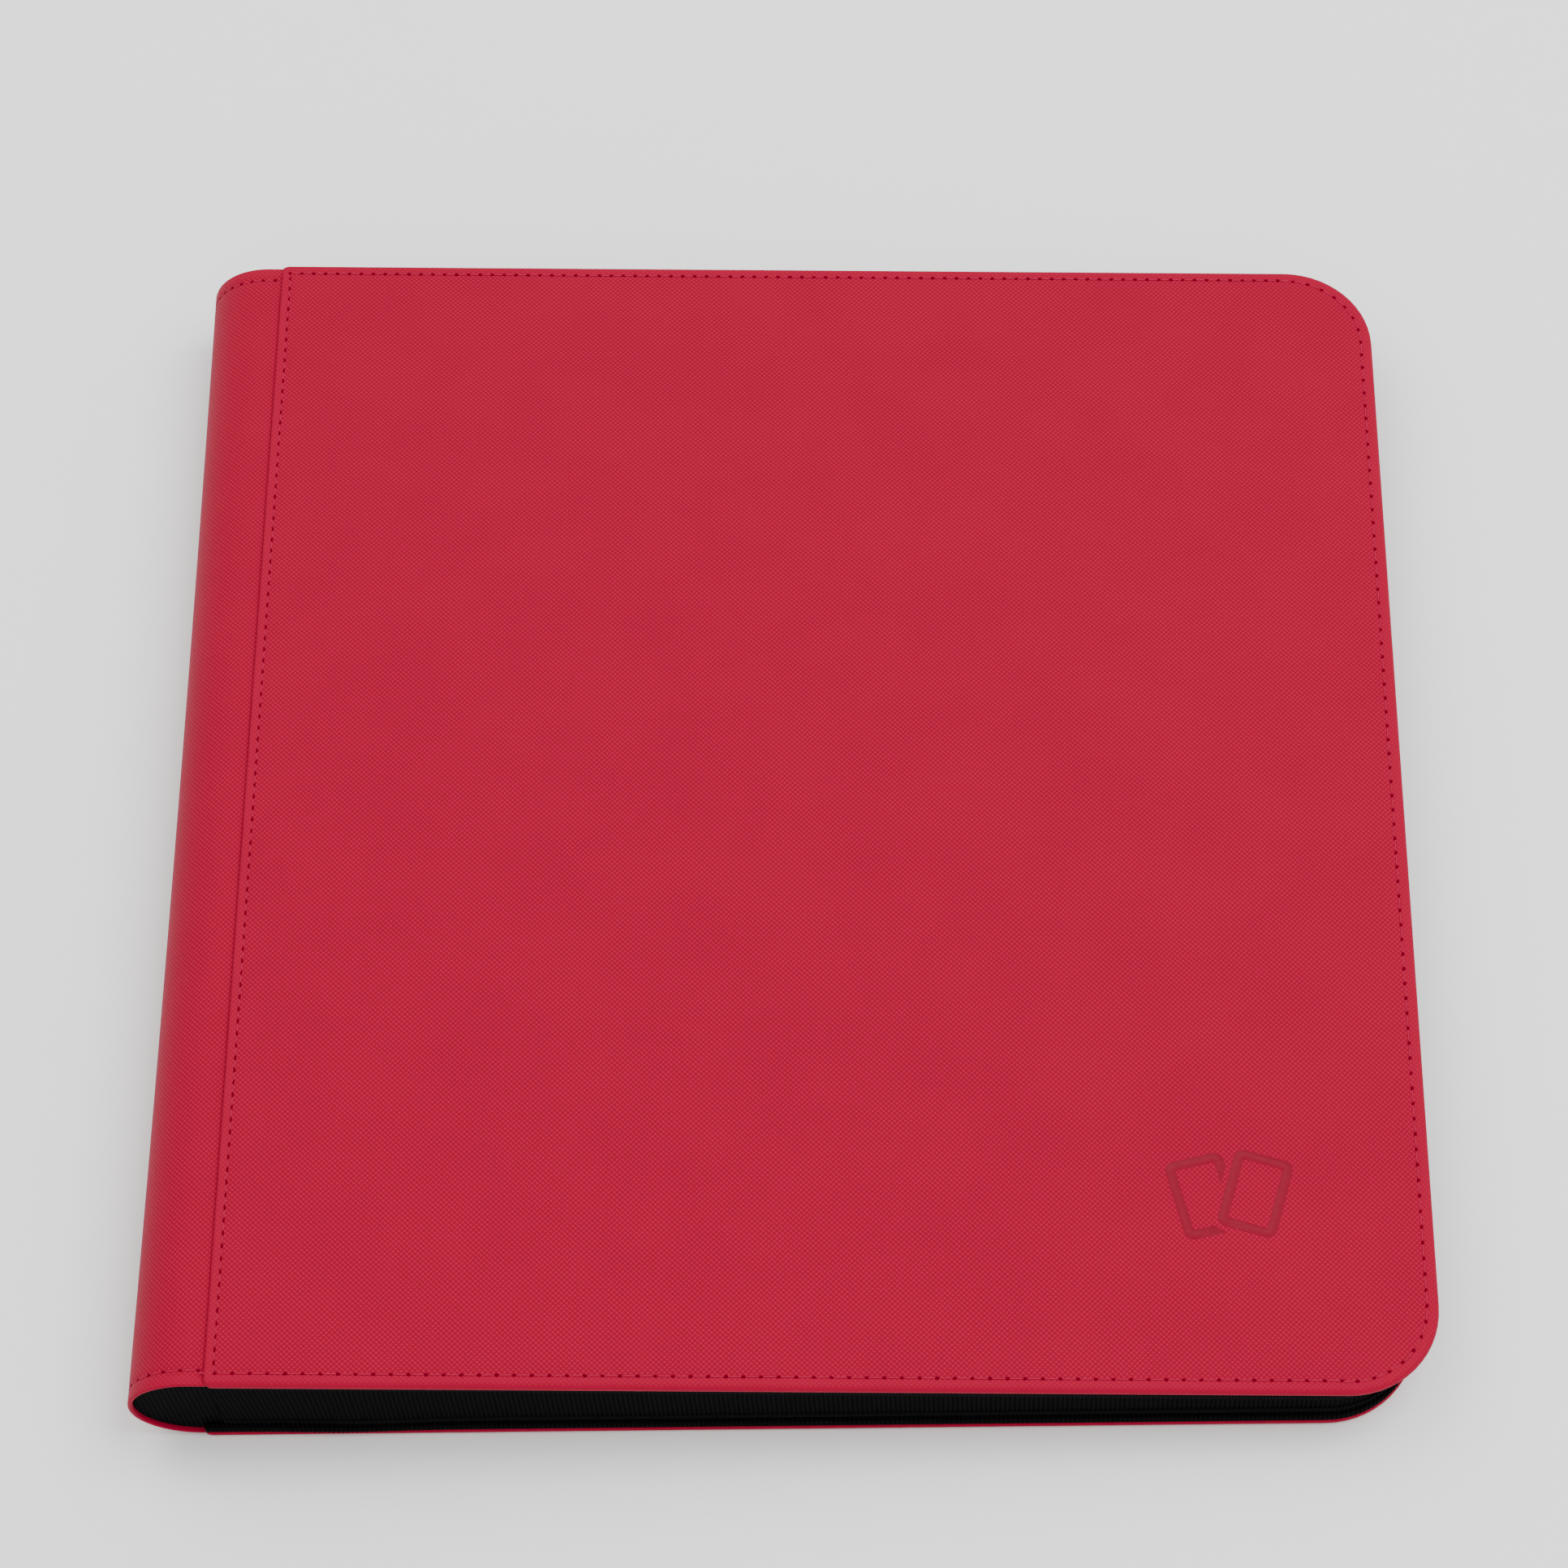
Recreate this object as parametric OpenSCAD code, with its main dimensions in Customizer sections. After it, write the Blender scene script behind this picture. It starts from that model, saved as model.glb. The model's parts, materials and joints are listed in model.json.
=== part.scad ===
// Zip-round trading card binder: two stiff fabric-wrapped covers, a soft rounded spine,
// a zip in a fabric gusset round three sides, and side-loading pocket pages.
// Millimetres. The binder lies closed on its back cover, +Z up, spine at -X,
// and the origin is the middle of the back cover's underside.

/* [Pages] */
// Number of pocket pages bound into the spine
page_count = 20; // [2:2:24]
// Pocket columns on a page
pocket_columns = 4; // [2:1:5]
// Pocket rows on a page
pocket_rows = 3; // [2:1:4]
// Width of one card pocket
pocket_w = 69; // [50:1:90]
// Height of one card pocket
pocket_h = 96; // [70:1:120]
// Width of the weld between pockets
weld_w = 2; // [1:0.5:4]
// Plain strip of the page between its pockets and its binding
binding_margin = 12; // [8:1:20]
// Thickness of a page's backing sheet
backing_t = 0.25; // [0.15:0.05:0.4]
// Height that a pocket stands proud of the backing sheet on each face
pocket_t = 0.1; // [0.05:0.05:0.15]
// Spacing of the pages at their binding
root_pitch = 1; // [0.8:0.05:1.2]
// Spacing of the pages at the fore-edge when the binder is shut
fore_pitch = 0.74; // [0.7:0.02:1]
// Length of each page's free film between its binding and its stiff part
hinge_free = 6; // [4:0.5:9]

/* [Covers] */
// Clearance from the page ends to the fore-edge of the covers
fore_clear = 16.6; // [10:0.2:30]
// Clearance from the page ends to the head and tail of the covers
end_clear = 22; // [14:1:30]
// Gap between the page stack and each cover lining at the fore-edge
stack_gap = 0.7; // [0.5:0.1:2]
// Radius of the two fore-edge corners of a cover
corner_r = 24; // [15:1:40]
// Thickness of the outer fabric skin on the covers
cover_skin_t = 0.7; // [0.5:0.1:1]
// Thickness of the hem that is turned under along the spine seam
hem_t = 0.6; // [0.4:0.1:0.8]
// Width of that hem
hem_w = 10; // [6:1:14]
// Thickness of the inner lining fabric
lining_t = 0.4; // [0.3:0.05:0.6]
// Distance that the front cover sits nearer the fore-edge than the back cover
front_shift = 4.2; // [0:0.2:6]

/* [Spine] */
// Outer radius of the rounded spine
spine_r = 17; // [15.5:0.5:22]
// Thickness of the spine's outer fabric
spine_skin_t = 0.8; // [0.6:0.1:1]
// Distance that each end of the spine fabric stops short of the cover ends
spine_end_inset = 0.5; // [0:0.1:2]
// Thickness of the ribbed fabric that closes each end of the spine
end_panel_t = 0.8; // [0.6:0.1:1]

/* [Zip] */
// Thickness of the zip tape and of the gusset fabric
tape_t = 0.4; // [0.3:0.05:0.6]
// Distance of the gusset's outer face inside the cover edge
edge_inset = 1.5; // [1:0.1:3]
// Width of the tape that is sewn in under each lining
tape_flange_w = 8; // [5:0.5:12]
// Height of the line where the two rows of teeth meet
chain_z = 7.2; // [6.6:0.1:9]
// Height of each row of teeth
teeth_h = 2.3; // [1.8:0.1:2.6]
// Depth of the teeth behind the tape
teeth_d = 1.4; // [1:0.1:2]
// Gap between the rows of teeth, where the slider's web runs
chain_gap = 0.8; // [0.6:0.1:1.2]
// Distance of the first teeth from the spine seam
chain_start = 28; // [20:1:50]
// Length of the zip slider
slider_len = 12; // [9:0.5:14]
// Length of the pull tab
pull_len = 26; // [15:1:28]
// Width of the pull tab
pull_w = 7; // [6:0.5:9]

/* [Hidden] */
$fn = 64;
PAGE_DIGITS = "0123456789";
function page_name(k) = str("page_", PAGE_DIGITS[floor(k / 10)], PAGE_DIGITS[k % 10]);

// Small gaps and margins
fit = 0.1;         // between layers that are laid or glued together
soft_gap = 0.3;    // between soft pieces that move past each other
slider_gap = 0.25; // between the slider and the chain that it runs on
big = 1000;        // larger than the binder, for cutting solids

// Page sizes
page_t = backing_t + 2 * pocket_t;
page_w = pocket_columns * (pocket_w + weld_w) + weld_w + binding_margin;
page_h = pocket_rows * (pocket_h + weld_w) + weld_w;
page_corner_r = 4;

// Cover layers, counted from the outer face inwards
spine_sheet_t = spine_skin_t + lining_t;
spine_step = cover_skin_t + hem_t;
board_t = hem_t + spine_sheet_t - tape_t + fit;
lining_w0 = cover_skin_t + board_t + tape_t;
cover_t = lining_w0 + lining_t;
board_start = hem_w + 2;
lip_w = edge_inset - fit;
seam_corner_r = 1.5;

// Spine circle, in the plane across the spine
ri = spine_r - spine_sheet_t;
rn = spine_r - spine_sheet_t / 2;
spine_cz = spine_r + spine_step;
seam_lead = 0.3;
bundle_half = (page_count - 1) * root_pitch / 2;
bundle_clear = 2;
root_depth = sqrt(ri * ri - pow(min(bundle_half + bundle_clear, 0.9 * ri), 2));

// Cover sizes follow the pages
cover_w = page_w + hinge_free - root_depth + seam_lead + fore_clear;
cover_h = page_h + 2 * end_clear;
spine_cx = seam_lead - cover_w / 2;
root_x = spine_cx - root_depth;
page_reach = hinge_free + page_w;
page_end_x = root_x + page_reach;

// The stack of page ends sets how far the shut covers close towards each other
stack_h = 2 * stack_gap + (page_count - 1) * fore_pitch + page_t;
inner_face_r = spine_cz - cover_t;
end_dx = page_end_x - spine_cx;
end_dz = cover_t + stack_h - spine_cz;
closing_angle = asin(inner_face_r / norm([end_dx, end_dz])) - atan2(end_dz, end_dx);
fold_angle = (180 + closing_angle) / 4;

// Front cover: its spine edge on the outer face, in the frame of the part
front_run = front_shift - seam_lead;
front_x = spine_cx + spine_cz * sin(closing_angle) + front_run * cos(closing_angle);
front_z = spine_cz + spine_cz * cos(closing_angle) - front_run * sin(closing_angle);
wall_x = cover_w / 2 - edge_inset;
wall_u = (wall_x - front_x + cover_t * sin(closing_angle)) / cos(closing_angle);
front_wall_shift = cover_w - edge_inset - wall_u;

// Zip levels and places
wall_start_x = front_x + fit * 10;
teeth_x = chain_start - cover_w / 2;
lower_top = chain_z - chain_gap / 2;
upper_foot = chain_z + chain_gap / 2;
stop_len = 2.5;
wall_y = cover_h / 2 - edge_inset;

// Slider, which is parked at the head end of the spine
plate_t = 1.5;
web_t = chain_gap - 0.3;
web_len = 4;
slider_h = 2 * teeth_h + chain_gap + 2;
slider_x = teeth_x + stop_len + soft_gap + slider_len / 2;
channel_out_y = wall_y + slider_gap;
channel_in_y = wall_y - tape_t - teeth_d - slider_gap;
bridge_t = 0.8;
bridge_w = 2.4;
bridge_len = 6;
bar_r = 0.6;
bar_clear = 0.25;
bar_y = channel_out_y + plate_t + bar_r + bar_clear;
pull_t = 1;
pull_window = 5;
arm_w = 1;

// ---------- shared shapes ----------

// A cover's outline: square at the spine, rounded at the fore-edge. It can be
// inset all round, start at u = start, and stop short by shift at the fore-edge.
module outline(inset = 0, start = 0, shift = 0) {
    r = corner_r - inset;
    end = cover_w - inset - shift;
    translate([start, inset]) square([end - r - start, cover_h - 2 * inset]);
    translate([start, inset + r]) square([end - start, cover_h - 2 * (inset + r)]);
    for (v = [inset + r, cover_h - inset - r]) translate([end - r, v]) circle(r);
}

// A band of fabric or teeth that follows the outline round three sides
module band(inset, depth, start, shift = 0) {
    difference() {
        outline(inset, start, shift);
        outline(inset + depth, start - 1, shift);
    }
}

// Puts what is drawn as (u, v, w) on the back cover: w is up from its outer face
module on_back() {
    translate([-cover_w / 2, -cover_h / 2, 0]) children();
}

// Puts what is drawn as (u, v, w) on the front cover: w is down from its outer face
module on_front() {
    translate([front_x, -cover_h / 2, front_z]) rotate([0, closing_angle, 0])
        mirror([0, 0, 1]) children();
}

// A layer of a cover from w0, t thick
module layer(w0, t) {
    translate([0, 0, w0]) linear_extrude(t) children();
}

// Extrudes a drawing in the plane across the spine along Y, y0 to y1
module along_y(y0, y1) {
    translate([0, y1, 0]) rotate([90, 0, 0]) linear_extrude(y1 - y0) children();
}

// A piece of the spine's round wall. Angles run from straight down, over the
// spine's outer side, to the front cover.
module spine_arc(r0, r1, a0, a1) {
    middle = (a0 + a1) / 2;
    intersection() {
        difference() {
            circle(r1);
            circle(r0);
        }
        polygon([[0, 0], for (a = [a0, middle, a1]) 3 * r1 * [-sin(a), -cos(a)]]);
    }
}

module spine_strip(r0, r1, a0, a1) {
    reach = cover_h / 2 - spine_end_inset;
    translate([spine_cx, 0, spine_cz]) along_y(-reach, reach) spine_arc(r0, r1, a0, a1);
}

// ---------- covers ----------

// The outer fabric: face, turned edge, lip over the inner face and seam hem
module cover_skin() {
    difference() {
        layer(0, cover_t) outline();
        layer(cover_skin_t, cover_t) outline(cover_skin_t, hem_w);
        layer(spine_step, cover_t) outline(cover_skin_t, -1);
        layer(lining_w0, cover_t) outline(lip_w, -1);
    }
    difference() {
        layer(lining_w0, lining_t) band(0, lip_w, board_start);
        layer(0, cover_t) outline(lip_w, -1);
    }
}

module back_skin() {
    color("crimson") on_back() cover_skin();
}

module front_skin() {
    color("crimson") on_front() cover_skin();
}

// The stiff board, glued inside the skin clear of the hem and the spine fabric
module cover_board() {
    layer(cover_skin_t, board_t) outline(cover_skin_t, board_start);
}

module back_board() {
    color("burlywood") on_back() cover_board();
}

module front_board() {
    color("burlywood") on_front() cover_board();
}

// Thin fleece that fills the level of the sewn-in tape
module interlining(shift) {
    layer(cover_skin_t + board_t, tape_t)
        outline(edge_inset + tape_flange_w + fit, board_start, shift);
}

module back_interlining() {
    color("gray") on_back() interlining(0);
}

module front_interlining() {
    color("gray") on_front() interlining(front_wall_shift);
}

module cover_lining(shift) {
    layer(lining_w0, lining_t) outline(edge_inset + tape_t + 3 * fit, 1, shift);
}

module back_lining() {
    color("black") on_back() cover_lining(0);
}

module front_lining() {
    color("black") on_front() cover_lining(front_wall_shift);
}

// ---------- spine ----------

// The ends of the spine fabric: tucked in between hem and board, then round
// to the first fold. run is the straight stretch outside the cover.
module hem_piece(r0, r1, run) {
    w0 = spine_cz - r1;
    translate([0, spine_end_inset + 1, w0])
        cube([hem_w, cover_h - 2 * spine_end_inset - 2, r1 - r0]);
    translate([-run, spine_end_inset, w0])
        cube([run + fit, cover_h - 2 * spine_end_inset, r1 - r0]);
}

module back_hem_piece(r0, r1) {
    on_back() hem_piece(r0, r1, 0);
    spine_strip(r0, r1, -1, fold_angle / 2 - strip_trim);
}

module front_hem_piece(r0, r1) {
    on_front() hem_piece(r0, r1, front_run);
    spine_strip(r0, r1, 3.5 * fold_angle + strip_trim, 4 * fold_angle);
}

strip_trim = asin(soft_gap / 2 / spine_r);

// The free strips of the spine, numbered from the back cover
module free_strip(r0, r1, i) {
    spine_strip(r0, r1, (i - 0.5) * fold_angle + strip_trim, (i + 0.5) * fold_angle - strip_trim);
}

module spine_skin_back_hem() {
    color("crimson") back_hem_piece(spine_r - spine_skin_t, spine_r);
}

module spine_lining_back_hem() {
    color("black") back_hem_piece(ri, spine_r - spine_skin_t);
}

module spine_skin_strip(i) {
    color("crimson") free_strip(spine_r - spine_skin_t, spine_r, i);
}

module spine_lining_strip(i) {
    color("black") free_strip(ri, spine_r - spine_skin_t, i);
}

module spine_skin_front_hem() {
    color("crimson") front_hem_piece(spine_r - spine_skin_t, spine_r);
}

module spine_lining_front_hem() {
    color("black") front_hem_piece(ri, spine_r - spine_skin_t);
}

// The strip that the pages are welded to, glued along the middle of the spine
module page_binding() {
    face = root_depth + soft_gap + page_t / 2;
    half = bundle_half + 1;
    color("black") translate([spine_cx, 0, spine_cz]) along_y(-page_h / 2, page_h / 2)
        intersection() {
            circle(ri - fit / 2);
            translate([-ri - 1, -half]) square([ri + 1 - face, 2 * half]);
        }
}

// A D-shaped panel of ribbed fabric that closes one end of the spine
module end_panel(side) {
    outer = side * wall_y;
    inner = side * (wall_y - end_panel_t);
    color("black") translate([spine_cx, 0, spine_cz])
        along_y(min(outer, inner), max(outer, inner)) intersection() {
            circle(inner_face_r - soft_gap);
            translate([-spine_r, -spine_r]) square([spine_r + front_run - 1, 2 * spine_r]);
        }
}

module tail_end_panel() {
    end_panel(-1);
}

module head_end_panel() {
    end_panel(1);
}

// ---------- zip ----------

module flange(shift) {
    layer(cover_skin_t + board_t, tape_t)
        band(cover_skin_t + fit, edge_inset + tape_flange_w - cover_skin_t - fit,
             board_start, shift);
}

// A wall of tape round three sides of the binder, from z0 to z1
module wall(z0, z1) {
    on_back() layer(z0, z1 - z0) band(edge_inset, tape_t, wall_start_x + cover_w / 2);
}

module lower_zip_tape() {
    color("black") {
        on_back() flange(0);
        wall(cover_skin_t + board_t + tape_t / 2, lower_top);
    }
}

// The tall gusset fabric hangs from the front cover and carries the upper teeth
module upper_zip_gusset() {
    color("black") {
        on_front() flange(front_wall_shift);
        difference() {
            wall(upper_foot, front_z);
            on_front() translate([-big / 2, -big / 2, lining_w0 - tape_t / 2 - big])
                cube(big);
        }
    }
}

module teeth(z0) {
    color("dimgray") on_back()
        layer(z0, teeth_h) band(edge_inset + tape_t, teeth_d, chain_start + stop_len);
}

module lower_zip_teeth() {
    teeth(lower_top - teeth_h);
}

module upper_zip_teeth() {
    teeth(upper_foot);
}

// The pair of stops, at the head and tail ends of one row of teeth
module end_stops(z0) {
    color("silver") for (side = [-1, 1])
        translate([teeth_x, side * (wall_y - tape_t - teeth_d / 2) - teeth_d / 2, z0])
            cube([stop_len - fit, teeth_d, teeth_h]);
}

module lower_end_stops() {
    end_stops(lower_top - teeth_h);
}

module upper_end_stops() {
    end_stops(upper_foot);
}

// Slider: two plates joined by a web that runs between the rows of teeth, a
// flange under the lower row, and the bridge that holds the pull
module zip_slider() {
    low = chain_z - slider_h / 2;
    flange_y = wall_y - tape_t - slider_gap;
    color("dimgray") translate([slider_x, 0, 0]) {
        translate([-slider_len / 2, channel_out_y, low]) cube([slider_len, plate_t, slider_h]);
        translate([-slider_len / 2, channel_in_y - plate_t, low])
            cube([slider_len, plate_t, slider_h]);
        translate([-slider_len / 2, channel_in_y - plate_t / 2, chain_z - web_t / 2])
            cube([web_len, channel_out_y - channel_in_y + plate_t, web_t]);
        translate([-slider_len / 2, channel_in_y - plate_t / 2, low])
            cube([slider_len, flange_y - channel_in_y + plate_t / 2,
                  lower_top - teeth_h - slider_gap - low]);
        zip_bridge();
    }
}

module zip_bridge() {
    foot_y = channel_out_y + plate_t;
    top_y = bar_y + bar_r + bar_clear + bridge_t;
    translate([0, 0, chain_z - bridge_w / 2]) difference() {
        translate([-bridge_len / 2, foot_y - bridge_t / 2, 0])
            cube([bridge_len, top_y - foot_y + bridge_t / 2, bridge_w]);
        translate([-bridge_len / 2 + bridge_t, foot_y, -1])
            cube([bridge_len - 2 * bridge_t, top_y - bridge_t - foot_y, bridge_w + 2]);
    }
}

// Pull tab: a bar under the bridge, two arms past it and a flat round-ended tab
module zip_pull() {
    color("dimgray") translate([slider_x, bar_y, chain_z]) {
        translate([0, 0, -pull_w / 2]) cylinder(h = pull_w, r = bar_r);
        for (side = [-1, 1])
            translate([-pull_window - 1, -pull_t / 2, side * (pull_w - arm_w) / 2 - arm_w / 2])
                cube([pull_window + 1, pull_t, arm_w]);
        translate([0, pull_t / 2, 0]) rotate([90, 0, 0]) linear_extrude(pull_t)
            translate([-pull_len + pull_w / 2, 0]) {
                translate([0, -pull_w / 2]) square([pull_len - pull_w / 2 - pull_window, pull_w]);
                circle(pull_w / 2);
            }
    }
}

// ---------- pages ----------

function page_root_z(k) = spine_cz + (k - (page_count + 1) / 2) * root_pitch;
function page_end_z(k) = cover_t + stack_gap + page_t / 2 + (k - 1) * fore_pitch;
function page_tilt(k) = atan2(page_end_z(k) - page_root_z(k), page_reach);

// One welded page: a backing sheet with a grid of pockets on both faces
module page(k) {
    r = page_corner_r;
    color("black") translate([root_x, -page_h / 2, page_root_z(k)])
        rotate([0, -page_tilt(k), 0]) translate([hinge_free, 0, 0]) {
            translate([0, 0, -backing_t / 2]) linear_extrude(backing_t) {
                square([page_w - r, page_h]);
                translate([0, r]) square([page_w, page_h - 2 * r]);
                for (v = [r, page_h - r]) translate([page_w - r, v]) circle(r);
            }
            for (i = [0:pocket_columns - 1], j = [0:pocket_rows - 1])
                translate([binding_margin + weld_w + i * (pocket_w + weld_w),
                           weld_w + j * (pocket_h + weld_w), -page_t / 2])
                    cube([pocket_w, pocket_h, page_t]);
        }
}

// ---------- nodes ----------

back_skin();
back_board();
back_interlining();
back_lining();
lower_zip_tape();
lower_zip_teeth();
lower_end_stops();
spine_skin_back_hem();
spine_lining_back_hem();
spine_skin_strip(1);  // spine_skin_back
spine_lining_strip(1);  // spine_lining_back
spine_skin_strip(2);  // spine_skin_middle
spine_lining_strip(2);  // spine_lining_middle
page_binding();
tail_end_panel();
head_end_panel();
spine_skin_strip(3);  // spine_skin_front
spine_lining_strip(3);  // spine_lining_front
spine_skin_front_hem();
spine_lining_front_hem();
front_skin();
front_board();
front_interlining();
front_lining();
upper_zip_gusset();
upper_zip_teeth();
upper_end_stops();
zip_slider();
zip_pull();
for (k = [1:page_count]) page(k);
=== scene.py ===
# %% [markdown]
# # A zip-round trading card binder
#
# The binder is two stiff covers wrapped in coated fabric, a soft rounded spine
# between them, a zip in a black gusset round the other three sides, and twenty
# pocket pages. The CAD model holds every size and every joint, so this lesson
# starts by loading it and reads all its places from there.

# %% Load the frame
import bmesh
import bpy
import json
import math
import numpy as np
from mathutils import Matrix, Vector
from mathutils.geometry import delaunay_2d_cdt


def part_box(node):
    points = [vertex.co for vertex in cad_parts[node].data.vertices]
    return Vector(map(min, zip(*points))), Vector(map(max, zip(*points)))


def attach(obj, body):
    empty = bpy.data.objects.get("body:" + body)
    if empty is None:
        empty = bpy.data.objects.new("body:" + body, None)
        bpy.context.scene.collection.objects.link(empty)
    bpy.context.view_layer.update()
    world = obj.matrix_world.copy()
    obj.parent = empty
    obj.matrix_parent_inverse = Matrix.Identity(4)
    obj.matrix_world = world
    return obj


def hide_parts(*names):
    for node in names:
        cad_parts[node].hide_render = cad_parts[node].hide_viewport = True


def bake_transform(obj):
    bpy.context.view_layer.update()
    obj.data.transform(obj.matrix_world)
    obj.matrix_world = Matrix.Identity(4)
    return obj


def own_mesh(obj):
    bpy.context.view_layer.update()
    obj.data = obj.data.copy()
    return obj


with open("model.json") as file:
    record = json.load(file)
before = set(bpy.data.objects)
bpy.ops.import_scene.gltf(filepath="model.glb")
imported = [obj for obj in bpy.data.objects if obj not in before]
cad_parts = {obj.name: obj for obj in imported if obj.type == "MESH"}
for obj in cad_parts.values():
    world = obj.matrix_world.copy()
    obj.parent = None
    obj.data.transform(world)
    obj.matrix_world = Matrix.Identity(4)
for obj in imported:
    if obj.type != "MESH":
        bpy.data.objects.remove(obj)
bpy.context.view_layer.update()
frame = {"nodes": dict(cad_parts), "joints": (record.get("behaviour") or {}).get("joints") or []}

MM = 0.001

# %% [markdown]
# ## Sizes
#
# The spine's four fold lines lie on one circle. Its centre and radius, and the
# angle between two folds, follow from three of them. The front cover leans by
# what those folds turn past a half turn, and that is all its frame needs.

# %% Sizes from the CAD model
joints = {j["name"]: j for j in frame["joints"]}
folds = [np.array(joints[f"spine_fold_{i}"]["pos_m"])[[0, 2]] / MM for i in (1, 2, 3, 4)]


def circle_through(a, b, c):
    rows = np.array([b - a, c - a])
    return np.linalg.solve(2 * rows, [b @ b - a @ a, c @ c - a @ a])


CENTRE = circle_through(folds[0], folds[1], folds[3])
SPINE_R = float(np.linalg.norm(folds[0] - CENTRE))
chord = float(np.linalg.norm(folds[1] - folds[0]))
FOLD = 2 * math.asin(chord / 2 / SPINE_R)
LEAN = 4 * FOLD - math.pi

low, high = (np.array(c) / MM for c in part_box("back_skin"))
COVER_W, COVER_H, COVER_T = high - low
U_BACK = low[0]
V_TAIL = low[1]
front_low = np.array(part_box("front_skin")[0]) / MM
FRONT_X = front_low[0] + COVER_T * math.sin(LEAN)
run = (FRONT_X - CENTRE[0] - CENTRE[1] * math.sin(LEAN)) / math.cos(LEAN)
FRONT_Z = CENTRE[1] + CENTRE[1] * math.cos(LEAN) - run * math.sin(LEAN)
CORNER_R = 24.0
print(f"spine radius {SPINE_R:.2f}, lean {math.degrees(LEAN):.2f} degrees, run {run:.2f} mm")

# %% [markdown]
# ## The camera first
#
# A camera is set before any modelling, so that every piece is judged in the
# view it is made for. It looks down on the shut binder from in front of its
# tail edge, a little turned and a little rolled. Its place is counted from the
# near spine corner of the front cover, so it follows the CAD model's sizes.

# %% Camera
CAMERA_FROM_CORNER = np.array([193.2, -397.1, 1071.6])
YAW, PITCH, ROLL = (math.radians(a) for a in (-4.95, 61.28, -5.31))
LENS = 101.9

ahead = Vector((math.sin(YAW) * math.cos(PITCH), math.cos(YAW) * math.cos(PITCH), -math.sin(PITCH)))
sideways = Vector((math.cos(YAW), -math.sin(YAW), 0))
above = sideways.cross(ahead)
right = sideways * math.cos(ROLL) + above * math.sin(ROLL)
up = above * math.cos(ROLL) - sideways * math.sin(ROLL)
camera_data = bpy.data.cameras.new("camera")
camera_data.lens = LENS
camera_data.sensor_width = 36
camera = bpy.data.objects.new("camera", camera_data)
bpy.context.scene.collection.objects.link(camera)
turn = Matrix((right, up, -ahead)).transposed().to_4x4()
corner = np.array([FRONT_X, V_TAIL, 0])
camera.matrix_world = Matrix.Translation(Vector((corner + CAMERA_FROM_CORNER) * MM)) @ turn
bpy.context.scene.camera = camera
print("camera at", [round(c, 3) for c in camera.location])

# %% [markdown]
# ## Making meshes from rows of points
#
# Nearly every soft part here is a cross-section that is carried along a path:
# rings of points, joined ring to ring. One helper does that for all of them. It
# also stores where each point lies on the flat cloth, so that the weave follows
# the cloth round an edge and doesn't smear.

# %% Mesh helpers


def new_object(name, mesh, *materials):
    thing = bpy.data.objects.new(name, mesh)
    bpy.context.scene.collection.objects.link(thing)
    for material in materials:
        mesh.materials.append(material)
    return thing


def mesh_from(name, points, faces, flat=None, sharp_faces=(), face_material=None, eased=None):
    """A mesh in metres from points in millimetres, with outward faces."""
    mesh = bpy.data.meshes.new(name)
    mesh.from_pydata([tuple(p) for p in np.asarray(points, float) * MM], [], faces)
    mesh.polygons.foreach_set("use_smooth", [True] * len(mesh.polygons))
    if face_material is not None:
        mesh.polygons.foreach_set("material_index", face_material)
    if flat is not None:
        layer = mesh.uv_layers.new(name="cloth")
        where = np.asarray(flat, float)[:, :2] * MM
        index = np.zeros(len(mesh.loops), np.int32)
        mesh.loops.foreach_get("vertex_index", index)
        layer.data.foreach_set("uv", where[index].astype(np.float32).ravel())
    if eased is not None:
        fade = mesh.attributes.new("eased", "FLOAT", "POINT")
        fade.data.foreach_set("value", np.asarray(eased, np.float32))
    built = bmesh.new()
    built.from_mesh(mesh)
    built.faces.ensure_lookup_table()
    for i in sharp_faces:
        built.faces[i].smooth = False
        for edge in built.faces[i].edges:
            edge.smooth = False
    bmesh.ops.recalc_face_normals(built, faces=built.faces)
    built.to_mesh(mesh)
    built.free()
    return mesh


def loft(rings, capped=True):
    """Faces over closed rings of equally many points, and which of them are caps."""
    count = len(rings[0])
    faces = []
    for i in range(len(rings) - 1):
        for j in range(count):
            k = (j + 1) % count
            faces.append((i * count + j, i * count + k, (i + 1) * count + k, (i + 1) * count + j))
    caps = []
    if capped:
        caps = [len(faces), len(faces) + 1]
        faces.append(tuple(range(count)))
        faces.append(tuple(reversed(range((len(rings) - 1) * count, len(rings) * count))))
    return np.concatenate([np.asarray(r, float) for r in rings]), faces, caps


def running_length(points):
    """The way along a row of points, at each of them."""
    way = [0.0]
    for a, b in zip(points, points[1:]):
        way.append(way[-1] + math.hypot(b[0] - a[0], b[1] - a[1]))
    return way


print("three squares loft to", len(loft([np.zeros((4, 3))] * 3)[1]), "faces")

# %% [markdown]
# A place on a cover is given as u from its spine side, v from its tail side and
# its depth below the outer face, all in millimetres. Two functions put such
# places in the frame, and the front one also tilts them with the cover.

# %% Places on the covers


def on_back(points):
    """(u, v, depth) on the back cover to the frame. Depth 0 is its outer face."""
    p = np.asarray(points, float)
    return np.stack([U_BACK + p[:, 0], V_TAIL + p[:, 1], p[:, 2]], 1)


def on_front(points):
    """The same for the front cover, whose depth runs down from its outer face."""
    p = np.asarray(points, float)
    c, s = math.cos(LEAN), math.sin(LEAN)
    x = FRONT_X + p[:, 0] * c - p[:, 2] * s
    z = FRONT_Z - p[:, 0] * s - p[:, 2] * c
    return np.stack([x, V_TAIL + p[:, 1], z], 1)


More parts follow.
